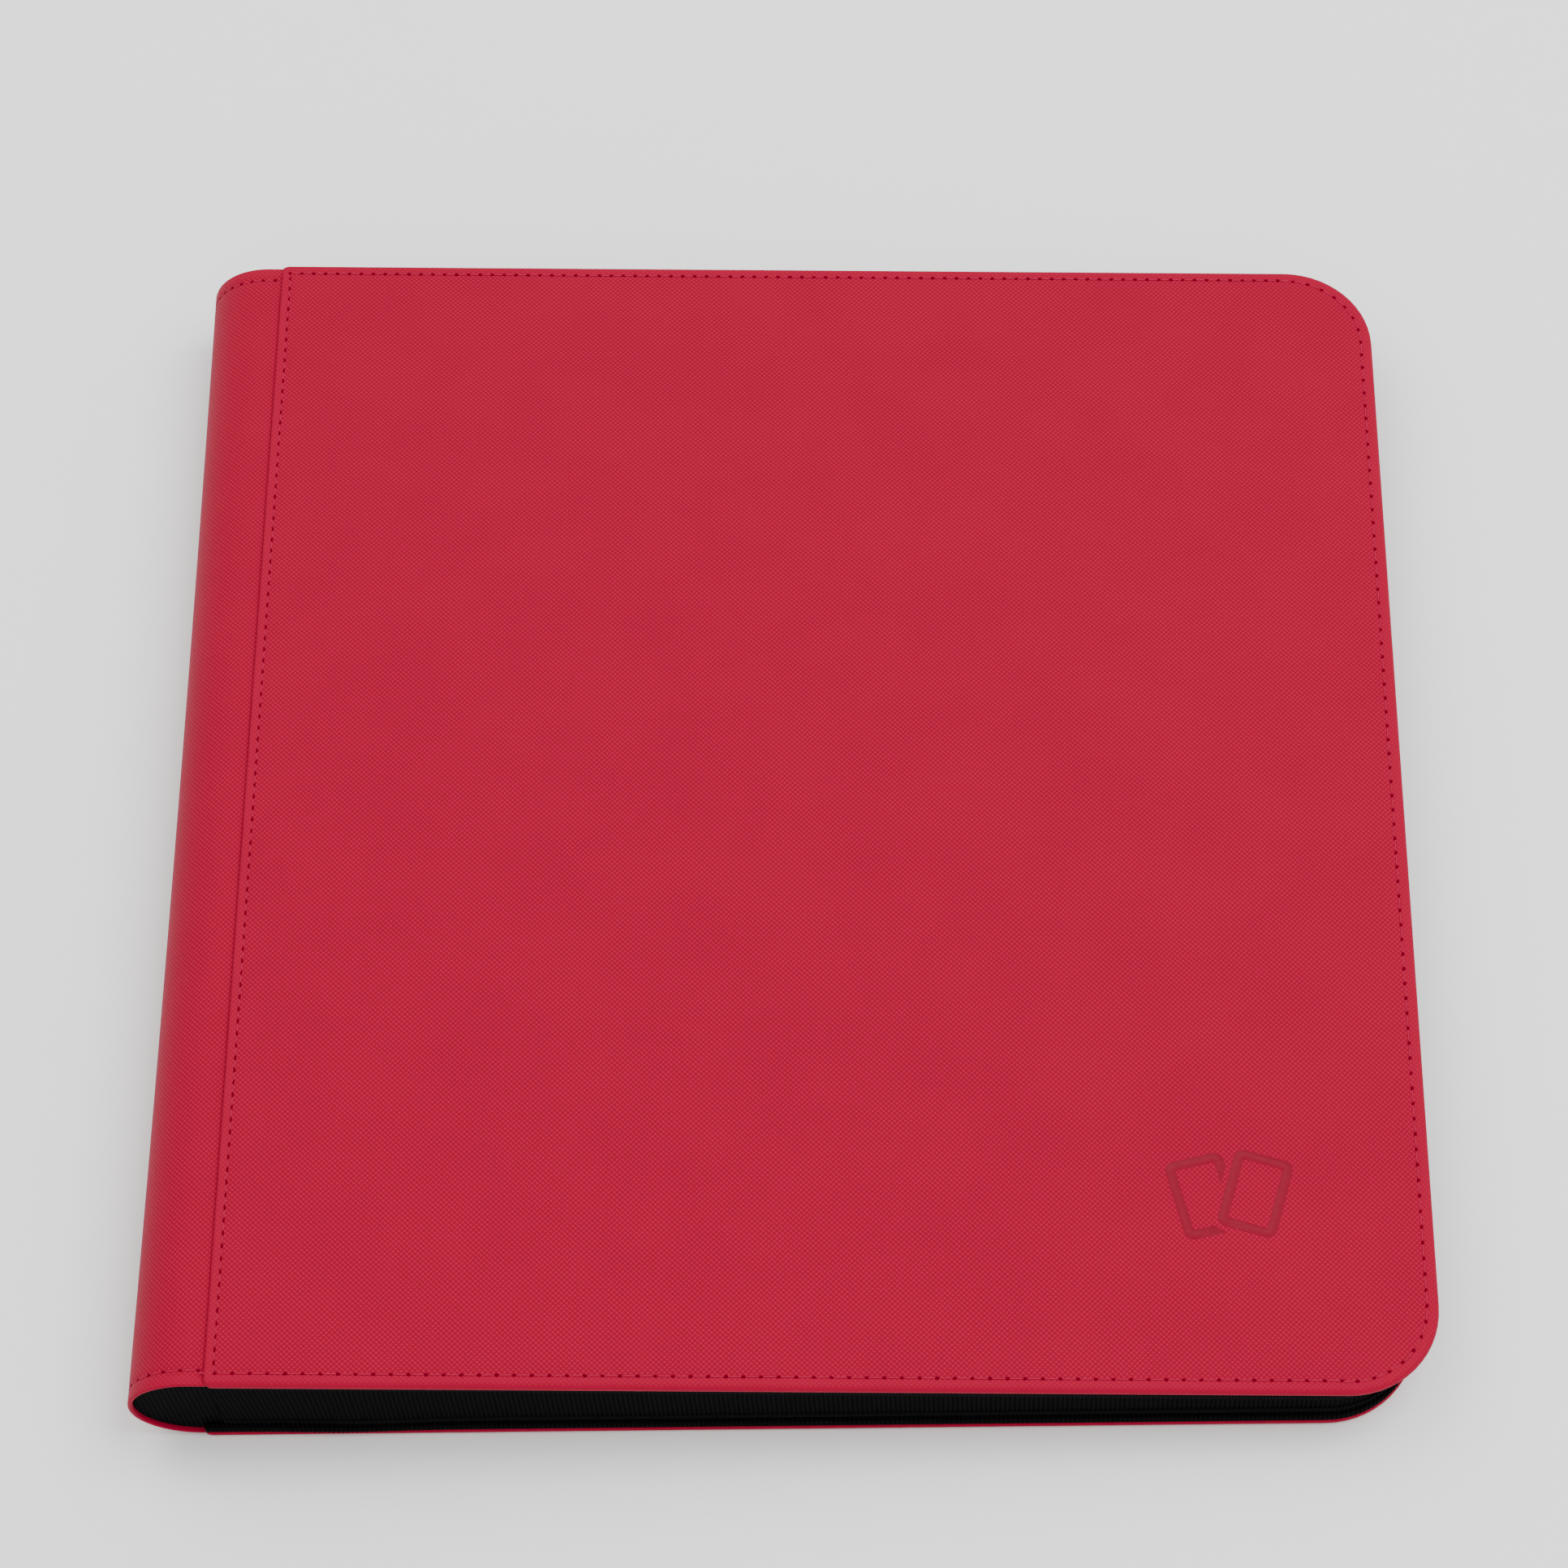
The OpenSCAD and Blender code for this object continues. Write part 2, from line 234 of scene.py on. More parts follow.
PLACES = {"back_cover": on_back, "front_cover": on_front}
OUTWARD = {"back_cover": (0, 0, -1), "front_cover": (math.sin(LEAN), 0, math.cos(LEAN))}
print("the front cover faces", [round(c, 3) for c in OUTWARD["front_cover"]])

# %% [markdown]
# ## The red coated fabric
#
# The cover cloth is a coated fabric pressed with a fine square weave: raised
# crowns in a chequered order, 0.7 mm apart. The product of two sines makes that
# chequer from the cloth coordinates. It paints a highlight on the crowns and
# shade into the pits between them and drives the bump, and a slow noise keeps
# the red from being perfectly even. Where the cloth is pulled round an edge the
# weave flattens, so the meshes carry an attribute named eased that fades it
# out there.

# %% Display colours


def linear(r, g, b):
    """An 8-bit display colour as the linear colour that the shader wants."""
    parts = [c / 255 for c in (r, g, b)]
    return tuple(c / 12.92 if c <= 0.04045 else ((c + 0.055) / 1.055) ** 2.4 for c in parts) + (1,)


print("white paper as a linear colour", [round(c, 3) for c in linear(240, 240, 240)])

# %% [markdown]
# Every finish is one Principled shader with a few nodes in front of it. The
# class below keeps the recipes short: each call adds a node, joins it and hands
# back its result for the next call.

# %% Material helpers


class Finish:
    """A material under construction: short calls that add and join its nodes."""

    def __init__(self, name, roughness=0.5, specular=0.5, sheen=0.0, coat=0.0):
        self.material = bpy.data.materials.new(name)
        self.material.use_nodes = True
        self.tree = self.material.node_tree
        self.shader = self.tree.nodes["Principled BSDF"]
        self.set(self.shader, "Roughness", roughness)
        self.set(self.shader, "Specular IOR Level", specular)
        self.set(self.shader, "Sheen Weight", sheen)
        self.set(self.shader, "Coat Weight", coat)

    def set(self, node, socket, value):
        node.inputs[socket].default_value = value

    def add(self, kind, **settings):
        node = self.tree.nodes.new(kind)
        for key, value in settings.items():
            setattr(node, key, value)
        return node

    def join(self, source, target):
        self.tree.links.new(source, target)

    def math(self, operation, a, b=None):
        node = self.add("ShaderNodeMath", operation=operation)
        for socket, value in zip(node.inputs, (a, b)):
            if value is None:
                continue
            if isinstance(value, (int, float)):
                socket.default_value = value
            else:
                self.join(value, socket)
        return node.outputs[0]

    def ramp(self, value, low, high, to_low=0.0, to_high=1.0):
        node = self.add("ShaderNodeMapRange", interpolation_type="SMOOTHSTEP")
        self.join(value, node.inputs["Value"])
        limits = {"From Min": low, "From Max": high, "To Min": to_low, "To Max": to_high}
        for socket, number in limits.items():
            self.set(node, socket, number)
        return node.outputs["Result"]

    def colour_mix(self, factor, a, b, blend="MIX"):
        node = self.add("ShaderNodeMix", data_type="RGBA", blend_type=blend)
        for socket, value in ((node.inputs[0], factor), (node.inputs[6], a), (node.inputs[7], b)):
            if isinstance(value, (int, float, tuple)):
                socket.default_value = value
            else:
                self.join(value, socket)
        return node.outputs[2]

    def coordinates(self, source, scale=(1, 1, 1), turn=0.0):
        if source == "cloth":
            start = self.add("ShaderNodeUVMap", uv_map="cloth").outputs["UV"]
        else:
            start = self.add("ShaderNodeTexCoord").outputs["Object"]
        mapping = self.add("ShaderNodeMapping")
        self.join(start, mapping.inputs["Vector"])
        self.set(mapping, "Scale", scale)
        self.set(mapping, "Rotation", (0, 0, turn))
        return mapping.outputs["Vector"]

    def noise(self, where, scale, detail=3.0, roughness=0.55):
        node = self.add("ShaderNodeTexNoise")
        self.join(where, node.inputs["Vector"])
        self.set(node, "Scale", scale)
        self.set(node, "Detail", detail)
        self.set(node, "Roughness", roughness)
        return node.outputs["Fac"]

    def bump(self, height, distance, strength=1.0, under=None):
        node = self.add("ShaderNodeBump")
        self.join(height, node.inputs["Height"])
        self.set(node, "Distance", distance)
        self.set(node, "Strength", strength)
        if under is not None:
            self.join(under, node.inputs["Normal"])
        return node.outputs["Normal"]

    def colour(self, value):
        self.join(value, self.shader.inputs["Base Color"])

    def normal(self, value):
        self.join(value, self.shader.inputs["Normal"])

    def roughness(self, value):
        self.join(value, self.shader.inputs["Roughness"])


print("a finish can", [call for call in vars(Finish) if not call.startswith("_")])

# %% [markdown]
# The weave itself is a short recipe on top of that: coordinates in threads, the
# chequer, a colour from painted shade in the pits to a painted highlight on the
# crowns, slow and fine noise, and one bump. Where the cloth is pulled smooth, the
# chequer gives way to one even level.

# %% The weave
RED_PITCH = 0.7
LINING_PITCH = 0.4
EVEN_LEVEL = 0.45


def chequer(finish, where):
    """-1 in the pits to 1 on the crowns of a square weave. One unit is half a period."""
    split = finish.add("ShaderNodeSeparateXYZ")
    finish.join(where, split.inputs[0])
    along = finish.math("SINE", finish.math("MULTIPLY", split.outputs[0], math.pi))
    across = finish.math("SINE", finish.math("MULTIPLY", split.outputs[1], math.pi))
    return finish.math("MULTIPLY", along, across)


def woven(name, thread_mm, pit_shade, crown_highlight, bump_mm, roughness, sheen=0.0, turn=0.0, mottle=0.04, specular=0.1):
    """A square weave on the cloth coordinates, with painted shade in its pits and a painted highlight on its
    crowns.
    """
    finish = Finish(name, roughness=roughness, specular=specular, sheen=sheen)
    per_thread = 1 / (thread_mm * MM)
    crowns = chequer(finish, finish.coordinates("cloth", (per_thread, per_thread, 1), turn))
    eased = finish.add("ShaderNodeAttribute", attribute_name="eased").outputs["Fac"]
    even = finish.add("ShaderNodeMix", data_type="FLOAT")
    finish.join(eased, even.inputs[0])
    finish.join(finish.ramp(crowns, -0.4, 1.0), even.inputs[2])
    finish.set(even, 3, EVEN_LEVEL)
    lift = even.outputs[0]
    # Painted shade in the pits and a painted highlight on the crowns, on top of the bump.
    colour = finish.colour_mix(lift, pit_shade, crown_highlight)
    slow = finish.noise(finish.coordinates("cloth"), 38.0)
    fine = finish.noise(finish.coordinates("cloth"), 900.0, detail=2.0)
    shade = finish.ramp(slow, 0.3, 0.7, 1 - mottle, 1 + mottle)
    grey = finish.add("ShaderNodeCombineColor")
    for channel in grey.inputs:
        finish.join(shade, channel)
    finish.colour(finish.colour_mix(1.0, colour, grey.outputs[0], "MULTIPLY"))
    finish.roughness(finish.ramp(fine, 0.25, 0.75, roughness - 0.06, roughness + 0.06))
    finish.normal(finish.bump(lift, bump_mm * MM))
    return finish.material


print(f"crowns {RED_PITCH} mm apart on the red cloth and {LINING_PITCH} mm on the lining")

# %% [markdown]
# The same weave serves two cloths. The cover cloth is coarse and coated, the
# lining is fine and dull, and both have their threads' width as a real size.
# The red is given as two colours: the pits' red with painted shade and the crowns' red with a painted
# highlight.

# %% The cloths
# The red with painted shade for the pits and with a painted highlight for the crowns.
RED_PIT_SHADE = (0.246, 0.0001, 0.0176, 1)
RED_CROWN_HIGHLIGHT = (0.402, 0.0004, 0.0352, 1)
red_cloth = woven(
    "red_coated_cloth", RED_PITCH, RED_PIT_SHADE, RED_CROWN_HIGHLIGHT, 0.09, 0.62,
    turn=-0.022, mottle=0.02, specular=0.06, sheen=0.03,
)
# The lining's weave also carries painted shade in its pits and a painted highlight on its crowns.
black_lining = woven(
    "black_lining", LINING_PITCH, linear(16, 16, 18), linear(38, 38, 42), 0.05, 0.8, sheen=0.15
)
print("cloths", red_cloth.name, black_lining.name)

# %% [markdown]
# ## The other finishes
#
# The pressed mark is the same coating ironed smooth, so it loses its crowns and
# darkens. The gusset is a ribbed black fabric, with painted shade in its grooves
# and a painted highlight on its ribs. Thread has a fine twist. The pages are a
# dull black sheet under a clear, slightly rippled film.

# %% Other materials


def pressed_coating():
    finish = Finish("pressed_coating", roughness=0.5, specular=0.1)
    grain = finish.noise(finish.coordinates("cloth"), 700.0)
    finish.colour(finish.colour_mix(grain, (0.175, 0.0008, 0.012, 1), (0.225, 0.002, 0.02, 1)))
    finish.normal(finish.bump(grain, 0.02 * MM, 0.5))
    return finish.material


# The gusset's black with painted shade for the grooves and with a painted highlight for the ribs.
BLACK_GROOVE_SHADE = (0.0004, 0.0004, 0.0005, 1)
BLACK_RIB_HIGHLIGHT = (0.0036, 0.0035, 0.0044, 1)


def ribbed_fabric(name, rib_mm, slant=0.0, dark=BLACK_GROOVE_SHADE, light=BLACK_RIB_HIGHLIGHT):
    """A black fabric with ribs across the cloth's first coordinate, painted shade in the grooves and a
    painted highlight on the ribs.
    """
    finish = Finish(name, roughness=0.9, specular=0.03)
    where = finish.coordinates("cloth", (1 / (rib_mm * MM), 1 / (rib_mm * MM), 1), slant)
    split = finish.add("ShaderNodeSeparateXYZ")
    finish.join(where, split.inputs[0])
    wave = finish.math("SINE", finish.math("MULTIPLY", split.outputs[0], 2 * math.pi))
    rib = finish.ramp(wave, -0.8, 0.8)
    fuzz = finish.noise(finish.coordinates("cloth"), 1500.0)
    # The colour follows the ribs: painted shade in the grooves, a painted highlight on the ribs.
    finish.colour(finish.colour_mix(rib, dark, light))
    finish.normal(finish.bump(fuzz, 0.05 * MM, 0.6, finish.bump(rib, 0.16 * MM)))
    return finish.material


def twisted_thread(name, dark, light):
    finish = Finish(name, roughness=0.65, specular=0.15)
    where = finish.coordinates("object", (1500, 1500, 1500))
    ply = finish.noise(where, 1.0, detail=1.0)
    finish.colour(finish.colour_mix(ply, dark, light))
    finish.normal(finish.bump(ply, 0.05 * MM, 0.5))
    return finish.material


def plain_grain(name, dark, light, roughness, scale, bump_mm, **settings):
    """A finish whose colour and relief both follow one noise on the object's coordinates."""
    finish = Finish(name, roughness=roughness, **settings)
    grain = finish.noise(finish.coordinates("object"), scale)
    finish.colour(finish.colour_mix(grain, dark, light))
    finish.roughness(finish.ramp(grain, 0.3, 0.7, max(0.05, roughness - 0.07), roughness + 0.07))
    finish.normal(finish.bump(grain, bump_mm * MM, 0.6))
    return finish.material


def clear_film():
    """Pocket film over the black sheet: glossy, with the long ripples of welded film."""
    finish = Finish("pocket_film", roughness=0.24, specular=0.4, coat=0.3)
    finish.set(finish.shader, "Coat Roughness", 0.15)
    ripple = finish.noise(finish.coordinates("object", (1, 0.35, 1)), 45.0, detail=2.0)
    finish.colour(finish.colour_mix(ripple, linear(19, 19, 22), linear(31, 31, 35)))
    finish.normal(finish.bump(ripple, 0.5 * MM, 0.35))
    return finish.material


smooth_mark = pressed_coating()
gusset_fabric = ribbed_fabric("ribbed_gusset", 1.2)
slanted_fabric = ribbed_fabric("slanted_gusset", 1.3, math.radians(4))
red_thread = twisted_thread("red_thread", (0.27, 0.0015, 0.024, 1), (0.42, 0.006, 0.048, 1))
# Needle holes are dark domes: painted shade where the thread goes into the cloth.
HOLE_SHADE_DARK = (0.1, 0.0002, 0.006, 1)
HOLE_SHADE_LIGHT = (0.155, 0.0006, 0.012, 1)
painted_hole_shade = plain_grain("painted_hole_shade", HOLE_SHADE_DARK, HOLE_SHADE_LIGHT, 0.9, 4000.0, 0.02, specular=0.02)
nylon = plain_grain("black_nylon", linear(17, 17, 19), linear(30, 30, 33), 0.4, 1800.0, 0.02)
black_metal = plain_grain(
    "black_painted_metal", linear(10, 10, 12), linear(18, 18, 20), 0.4, 350.0, 0.006, specular=0.28
)
page_sheet = plain_grain("page_sheet", linear(17, 17, 19), linear(27, 27, 30), 0.45, 2500.0, 0.02)
pocket_film = clear_film()
grey_board = plain_grain("grey_board", linear(126, 112, 96), linear(152, 138, 120), 0.9, 600.0, 0.05)
grey_fleece = plain_grain("grey_fleece", linear(74, 74, 78), linear(98, 98, 102), 0.95, 1600.0, 0.15)
print("materials", len(bpy.data.materials))

# %% [markdown]
# ## The edge of a cover
#
# Seen in section, the coated cloth comes in flat, dips where the thread pulls
# it down, rolls round the board's edge and turns in to the lining. The table
# below is that section, from the field outwards. Each row holds the inset from
# the three free sides, the inset from the spine side, and the depth at both.

# %% The edge's section
EDGE_R = COVER_T / 2
SEAM_T = 1.3
FIELD = 9.0
SIDE_STITCH = {"tail": 3.4, "fore": 3.2, "head": 3.0}
SEAM_STITCH = 2.4
INNER_ROWS = 4
EASED_BELOW = 0.35
EASED_WITHIN = 2.6


def cover_section():
    rows = [(FIELD, 7.0, 0.0, 0.0), (7.0, 5.6, 0.0, 0.0), (5.2, 3.9, 0.0, 0.0), (4.2, 3.1, 0.1, 0.1)]
    rows += [(3.2, 2.4, 0.24, 0.2), (2.5, 1.8, 0.1, 0.08), (1.95, 1.3, 0.0, 0.0)]
    for i in range(9):
        a = math.pi * i / 8
        side = EDGE_R * (1 - math.sin(a)), EDGE_R * (1 - math.cos(a))
        seam = SEAM_T / 2 * (1 - math.sin(a)), SEAM_T / 2 * (1 - math.cos(a))
        rows.append((side[0], seam[0], side[1], seam[1]))
    rows += [(2.0, 5.0, COVER_T, SEAM_T), (2.1, 10.0, 2.4, SEAM_T)]
    rows += [(1.5, 10.0, 1.5, 1.0), (2.1, 10.0, 0.7, 0.7)]
    return rows


def flat_inset(rows, index):
    """Insets measured along the cloth instead of straight across."""
    depth = 2 if index == 0 else 3
    out = [rows[0][index]]
    for a, b in zip(rows, rows[1:]):
        out.append(out[-1] - math.hypot(b[index] - a[index], b[depth] - a[depth]))
    return out


rows = cover_section()
flat_sides, flat_seams = flat_inset(rows, 0), flat_inset(rows, 1)
print("rings", len(rows), "cloth beyond the edge", round(flat_sides[-1], 2), "mm")

# %% [markdown]
# Each row of the section becomes a ring round the cover: three straight sides
# with two rounded fore-edge corners, and the spine side with two small ones.
# The front cover reaches past the gusset at the fore-edge, so its hidden rings
# stop shorter there.

# %% Outlines
SEAM_R = 2.0


def outline(side, seam, straight=34, arc=14):
    """A cover's outline with rounded fore-edge corners, as (u, v), from the tail's spine end."""
    r = CORNER_R - side
    far_u, far_v = COVER_W - side, COVER_H - side
    first_u = seam + max(SEAM_R - seam, 0.3)
    tail = [(first_u + (far_u - r - first_u) * (i / straight) ** 1.5, side) for i in range(straight)]
    first = [-math.pi / 2 + math.pi / 2 * i / arc for i in range(arc)]
    turn_a = [(far_u - r + r * math.cos(a), side + r + r * math.sin(a)) for a in first]
    fore = [(far_u, side + r + (far_v - side - 2 * r) * i / straight) for i in range(straight)]
    second = [a + math.pi / 2 for a in first]
    turn_b = [(far_u - r + r * math.cos(a), far_v - r + r * math.sin(a)) for a in second]
    head = [(first_u + (far_u - r - first_u) * (1 - i / straight) ** 1.5, far_v) for i in range(straight)]
    end_v = max(SEAM_R - side, 0.3)
    spine = [(seam, far_v - end_v - (far_v - side - 2 * end_v) * i / straight) for i in range(straight)]
    ru, rv = max(SEAM_R - seam, 0.3), max(SEAM_R - side, 0.3)
    ends = [(1 - math.cos(math.pi / 2 * k / 5), 1 - math.sin(math.pi / 2 * k / 5)) for k in range(5)]
    spine[0:1] = [(seam + ru * a, far_v - rv * b) for b, a in ends]
    spine += [(seam + ru * a, side + rv * b) for a, b in ends]
    return np.array(tail + turn_a + fore + turn_b + head + spine)


def smooth(t):
    t = np.clip(t, 0, 1)
    return t * t * (3 - 2 * t)


WALL_INSET = 1.5
TAPE_T = 0.4
wall_x = COVER_W / 2 - WALL_INSET
wall_u = (wall_x - FRONT_X + COVER_T * math.sin(LEAN)) / math.cos(LEAN)
FRONT_SHORT = COVER_W - WALL_INSET - wall_u


def short_outline(side, seam, short):
    """A cover outline that stops short at the fore-edge."""
    at = outline(side, seam)
    share = smooth((at[:, 0] - COVER_W / 2) / (COVER_W / 2 - CORNER_R))
    return np.column_stack([at[:, 0] - short * share, at[:, 1]])


def cover_ring(row, flat_side, flat_seam, short):
    """One ring of the cover's skin: its points with depth, and the same on the flat cloth."""
    side, seam, side_w, seam_w = row
    at = short_outline(side, seam, short)
    away = smooth((at[:, 0] - seam) / 1.3)
    depth = seam_w * (1 - away) + side_w * away
    return np.column_stack([at, depth]), outline(flat_side, flat_seam)


print("points round a ring", len(outline(0, 0)))
print("the front's hidden rings are", round(FRONT_SHORT, 1), "mm short")

# %% [markdown]
# ## The pressed mark
#
# A small device is ironed into the front cover near its tail and fore-edge: two
# playing cards, one leaning over the other. Only their outlines are drawn, as
# rounded bands 0.16 mm deep. The outlines are put into the flat field's mesh so
# that the pressed edge is crisp.

# %% The mark's outlines
MARK_AT = (258.4, 53.5)
MARK_DEPTH = 0.16
CARD_W, CARD_H, CARD_R = 15.5, 22.0, 2.6
BAND = 2.6
CARD_GAP = 1.3


def card_outline(width, height, radius, lean, centre, steps=6):
    """A leaning rectangle with rounded corners."""
    points = []
    for k, (sx, sy) in enumerate(((1, -1), (1, 1), (-1, 1), (-1, -1))):
        for i in range(steps + 1):
            a = math.pi / 2 * (k - 1 + i / steps)
            x = sx * (width / 2 - radius) + radius * math.cos(a)
            y = sy * (height / 2 - radius) + radius * math.sin(a)
            points.append((x, y))
    c, s = math.cos(lean), math.sin(lean)
    return [(centre[0] + x * c - y * s, centre[1] + x * s + y * c) for x, y in points]


def card_band(lean, shift_u, shift_v):
    """Outer and inner outline of one card's band, leaning and shifted from the mark's middle."""
    lean, centre = math.radians(lean), (MARK_AT[0] + shift_u, MARK_AT[1] + shift_v)
    outer = card_outline(CARD_W, CARD_H, CARD_R, lean, centre)
    inner = card_outline(CARD_W - 2 * BAND, CARD_H - 2 * BAND, max(CARD_R - BAND, 0.4), lean, centre)
    return outer, inner


card_a = card_band(14, -6.6, -0.4)
card_b = card_band(-16, 6.6, 0.4)


def inside(point, loop):
    """Even-odd test: does a closed loop go round this point?"""
    x, y = point
    hit = False
    for (x1, y1), (x2, y2) in zip(loop, loop[1:] + loop[:1]):
        if (y1 > y) != (y2 > y) and x < (x2 - x1) * (y - y1) / (y2 - y1) + x1:
            hit = not hit
    return hit


def grown(loop, by):
    """The loop moved outwards by a little, for the pressed wall's foot."""
    middle = np.mean(loop, 0)
    out = []
    for i, p in enumerate(loop):
        before, after = np.array(loop[i - 1]), np.array(loop[(i + 1) % len(loop)])
        along = after - before
        normal = np.array([along[1], -along[0]]) / (np.linalg.norm(along) + 1e-9)
        if normal @ (np.array(p) - middle) < 0:
            normal = -normal
        out.append(tuple(np.array(p) + normal * by))
    return out


def pressed(point):
    """Is this point in either card's band? The leaning card's band covers the other's inside."""
    in_b = inside(point, card_b[0])
    if in_b:
        return not inside(point, card_b[1])
    near_b = inside(point, grown(card_b[0], CARD_GAP))
    return inside(point, card_a[0]) and not inside(point, card_a[1]) and not near_b


corners = np.array(card_a[0] + card_b[0])
print("mark", np.round(corners.max(0) - corners.min(0), 1), "mm")

# %% [markdown]
# ## The two cover skins
#
# The flat field inside a cover's rings is a constrained triangulation, which
# keeps the outline of the mark as real edges. A point that belongs only to
# pressed faces goes down; one shared with the field stays up. Each line has a
# second line close by on either side: the foot of the pressed wall, and a guard
# in the field that keeps the wall's tilt out of its shading.

# %% The flat field
FOOT, GUARD = 0.22, -0.3


def field_mesh(ring, with_mark):
    """Triangles over the flat field: the ring's own points first, then what the mark adds."""
    points = [tuple(p[:2]) for p in ring]
    edges = [(i, (i + 1) % len(ring)) for i in range(len(ring))]
    if with_mark:
        lines = [(card_a[0], -1), (card_a[1], 1), (card_b[0], -1), (card_b[1], 1)]
        lines.append((grown(card_b[0], CARD_GAP), 1))
        for loop, pressed_side in lines:
            for shift in (0.0, FOOT * pressed_side, GUARD * pressed_side):
                start = len(points)
                points += grown(loop, shift) if shift else list(loop)
                edges += [(start + i, start + (i + 1) % len(loop)) for i in range(len(loop))]
    result = delaunay_2d_cdt([Vector(p) for p in points], edges, [], 1, 1e-5)
    flat = [tuple(p) for p in result[0]]
    origin = [list(o) for o in result[3]]
    return flat, [tuple(f) for f in result[2]], origin


def pressed_depths(flat, faces):
    """Depth of each field point, and which faces are pressed."""
    marks = []
    touch = [[] for _ in flat]
    for face in faces:
        middle = np.mean([flat[k] for k in face], 0)
        marks.append(pressed(tuple(middle)))
        for k in face:
            touch[k].append(marks[-1])
    depth = [MARK_DEPTH if t and all(t) else 0.0 for t in touch]
    return depth, marks


first_ring = cover_ring(rows[0], flat_sides[0], flat_seams[0], 0.0)[0]
print("the marked field has", len(field_mesh(first_ring, True)[1]), "faces")

# %% [markdown]
# Round the field the rings are lofted, out over the edge and back in under it.
# A last face inside the board closes each skin.

# %% Cover skins


def cover_skin(body, with_mark, short):
    """The closed skin of one cover. Inside the roll it reaches in to where the zip wall stands."""
    rings, flats = [], []
    for k, (row, side, seam) in enumerate(zip(rows, flat_sides, flat_seams)):
        ring, cloth = cover_ring(row, side, seam, short if k >= len(rows) - INNER_ROWS else 0.0)
        rings.append(ring)
        flats.append(cloth)
    points, faces, _ = loft(rings, capped=False)
    cloth = np.concatenate(flats)
    count = len(rings[0])
    top, top_faces, origin = field_mesh(rings[0], with_mark)
    depth, marks = [0.0] * len(top), [False] * len(top_faces)
    if with_mark:
        depth, marks = pressed_depths(top, top_faces)
    index = {}
    extra, extra_cloth = [], []
    for i, sources in enumerate(origin):
        ring_ids = [s for s in sources if s < count]
        if ring_ids:
            index[i] = ring_ids[0]
        else:
            index[i] = len(points) + len(extra)
            extra.append((top[i][0], top[i][1], depth[i]))
            extra_cloth.append(top[i])
    material = [0] * len(faces)
    for face, mark in zip(top_faces, marks):
        faces.append(tuple(index[k] for k in face))
        material.append(1 if mark else 0)
    points = np.concatenate([points, np.array(extra).reshape(-1, 3)])
    cloth = np.concatenate([cloth, np.array(extra_cloth).reshape(-1, 2)])
    base = (len(rings) - 1) * count
    fade = [1.0 if row[2] > EASED_BELOW else 0.5 if row[0] < EASED_WITHIN else 0.0 for row in rows]
    eased = [share for share in fade for _ in range(count)] + [0.0] * len(extra)
    faces.append(tuple(reversed(range(base, base + count))))
    material.append(0)
    skin = mesh_from(body + "_skin", PLACES[body](points), faces, cloth, [len(faces) - 1], material, eased)
    return new_object(body + "_skin", skin, red_cloth, smooth_mark)


back_skin = cover_skin("back_cover", False, 0.0)
front_skin = cover_skin("front_cover", True, FRONT_SHORT)
for skin, body, node in ((back_skin, "back_cover", "back_skin"), (front_skin, "front_cover", "front_skin")):
    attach(skin, body)
    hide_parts(node)
    print(skin.name, len(skin.data.polygons), "faces")

# %% [markdown] ## The rounded spine  The spine cloth bends between five rigid
# bodies, so it is made in four pieces, one for each fold. Together they must
# stay one smooth surface, so every piece comes from the same formula: a circle
# drawn in a little at mid-length, with a turned edge at both ends. Near each
# end the thread pulls the cloth in along the row of stitches.

# %% Spine section
SPINE_HALF = COVER_H / 2 - 0.5
SKIN_T = 0.8
TURNED_T = 1.2
TURNED_W = 8.0
PULLED_IN = 0.8
HEM = 8.5
SPINE_STITCH = 4.1
STITCH_DIP = 0.2


def spine_level(theta, y, r):
    """Draws the wall in by up to PULLED_IN at mid-length, most on the spine's outer side."""
    span = math.pi + LEAN
    bulge = math.sin(math.pi * min(max(theta / span, 0), 1)) ** 2
    return r - PULLED_IN * bulge * (1 - (y / SPINE_HALF) ** 2)


def spine_point(theta, y, r):
    """A point of the spine wall. Angles past either end run on straight, into the covers."""
    span = math.pi + LEAN
    turn = min(max(theta, 0), span)
    radius = spine_level(theta, y, r)
    x = CENTRE[0] - radius * math.sin(turn)
    z = CENTRE[1] - radius * math.cos(turn)
    beyond = (theta - turn) * SPINE_R
    x -= math.cos(turn) * beyond
    z += math.sin(turn) * beyond
    return x, y, z


def stitch_dip(y):
    """How far the row of stitches pulls the cloth in at y."""
    from_end = SPINE_HALF - abs(y)
    return STITCH_DIP * math.exp(-((from_end - SPINE_STITCH) / 0.8) ** 2)


def skin_section():
    """(y, radius) once round the wall, starting and ending on its hidden inner side."""
    half = TURNED_T / 2
    along = [-SPINE_HALF + half + (2 * SPINE_HALF - 2 * half) * i / 60 for i in range(61)]
    for from_end in (2.2, 3.1, 3.7, SPINE_STITCH, 4.5, 5.1, 6.0):
        along += [SPINE_HALF - from_end, -(SPINE_HALF - from_end)]
    section = sorted((y, SPINE_R - stitch_dip(y)) for y in along)
    roll = [math.pi * i / 6 for i in range(1, 6)]
    head = [(SPINE_HALF - half + half * math.sin(a), SPINE_R - half + half * math.cos(a)) for a in roll]
    inner = [(SPINE_HALF - half, SPINE_R - TURNED_T), (SPINE_HALF - TURNED_W, SPINE_R - TURNED_T)]
    inner += [(SPINE_HALF - TURNED_W - 0.4, SPINE_R - SKIN_T)]
    back = [(-y, r) for y, r in reversed(inner)]
    tail = [(-y, r) for y, r in reversed(head)]
    return back + tail + section + head + inner


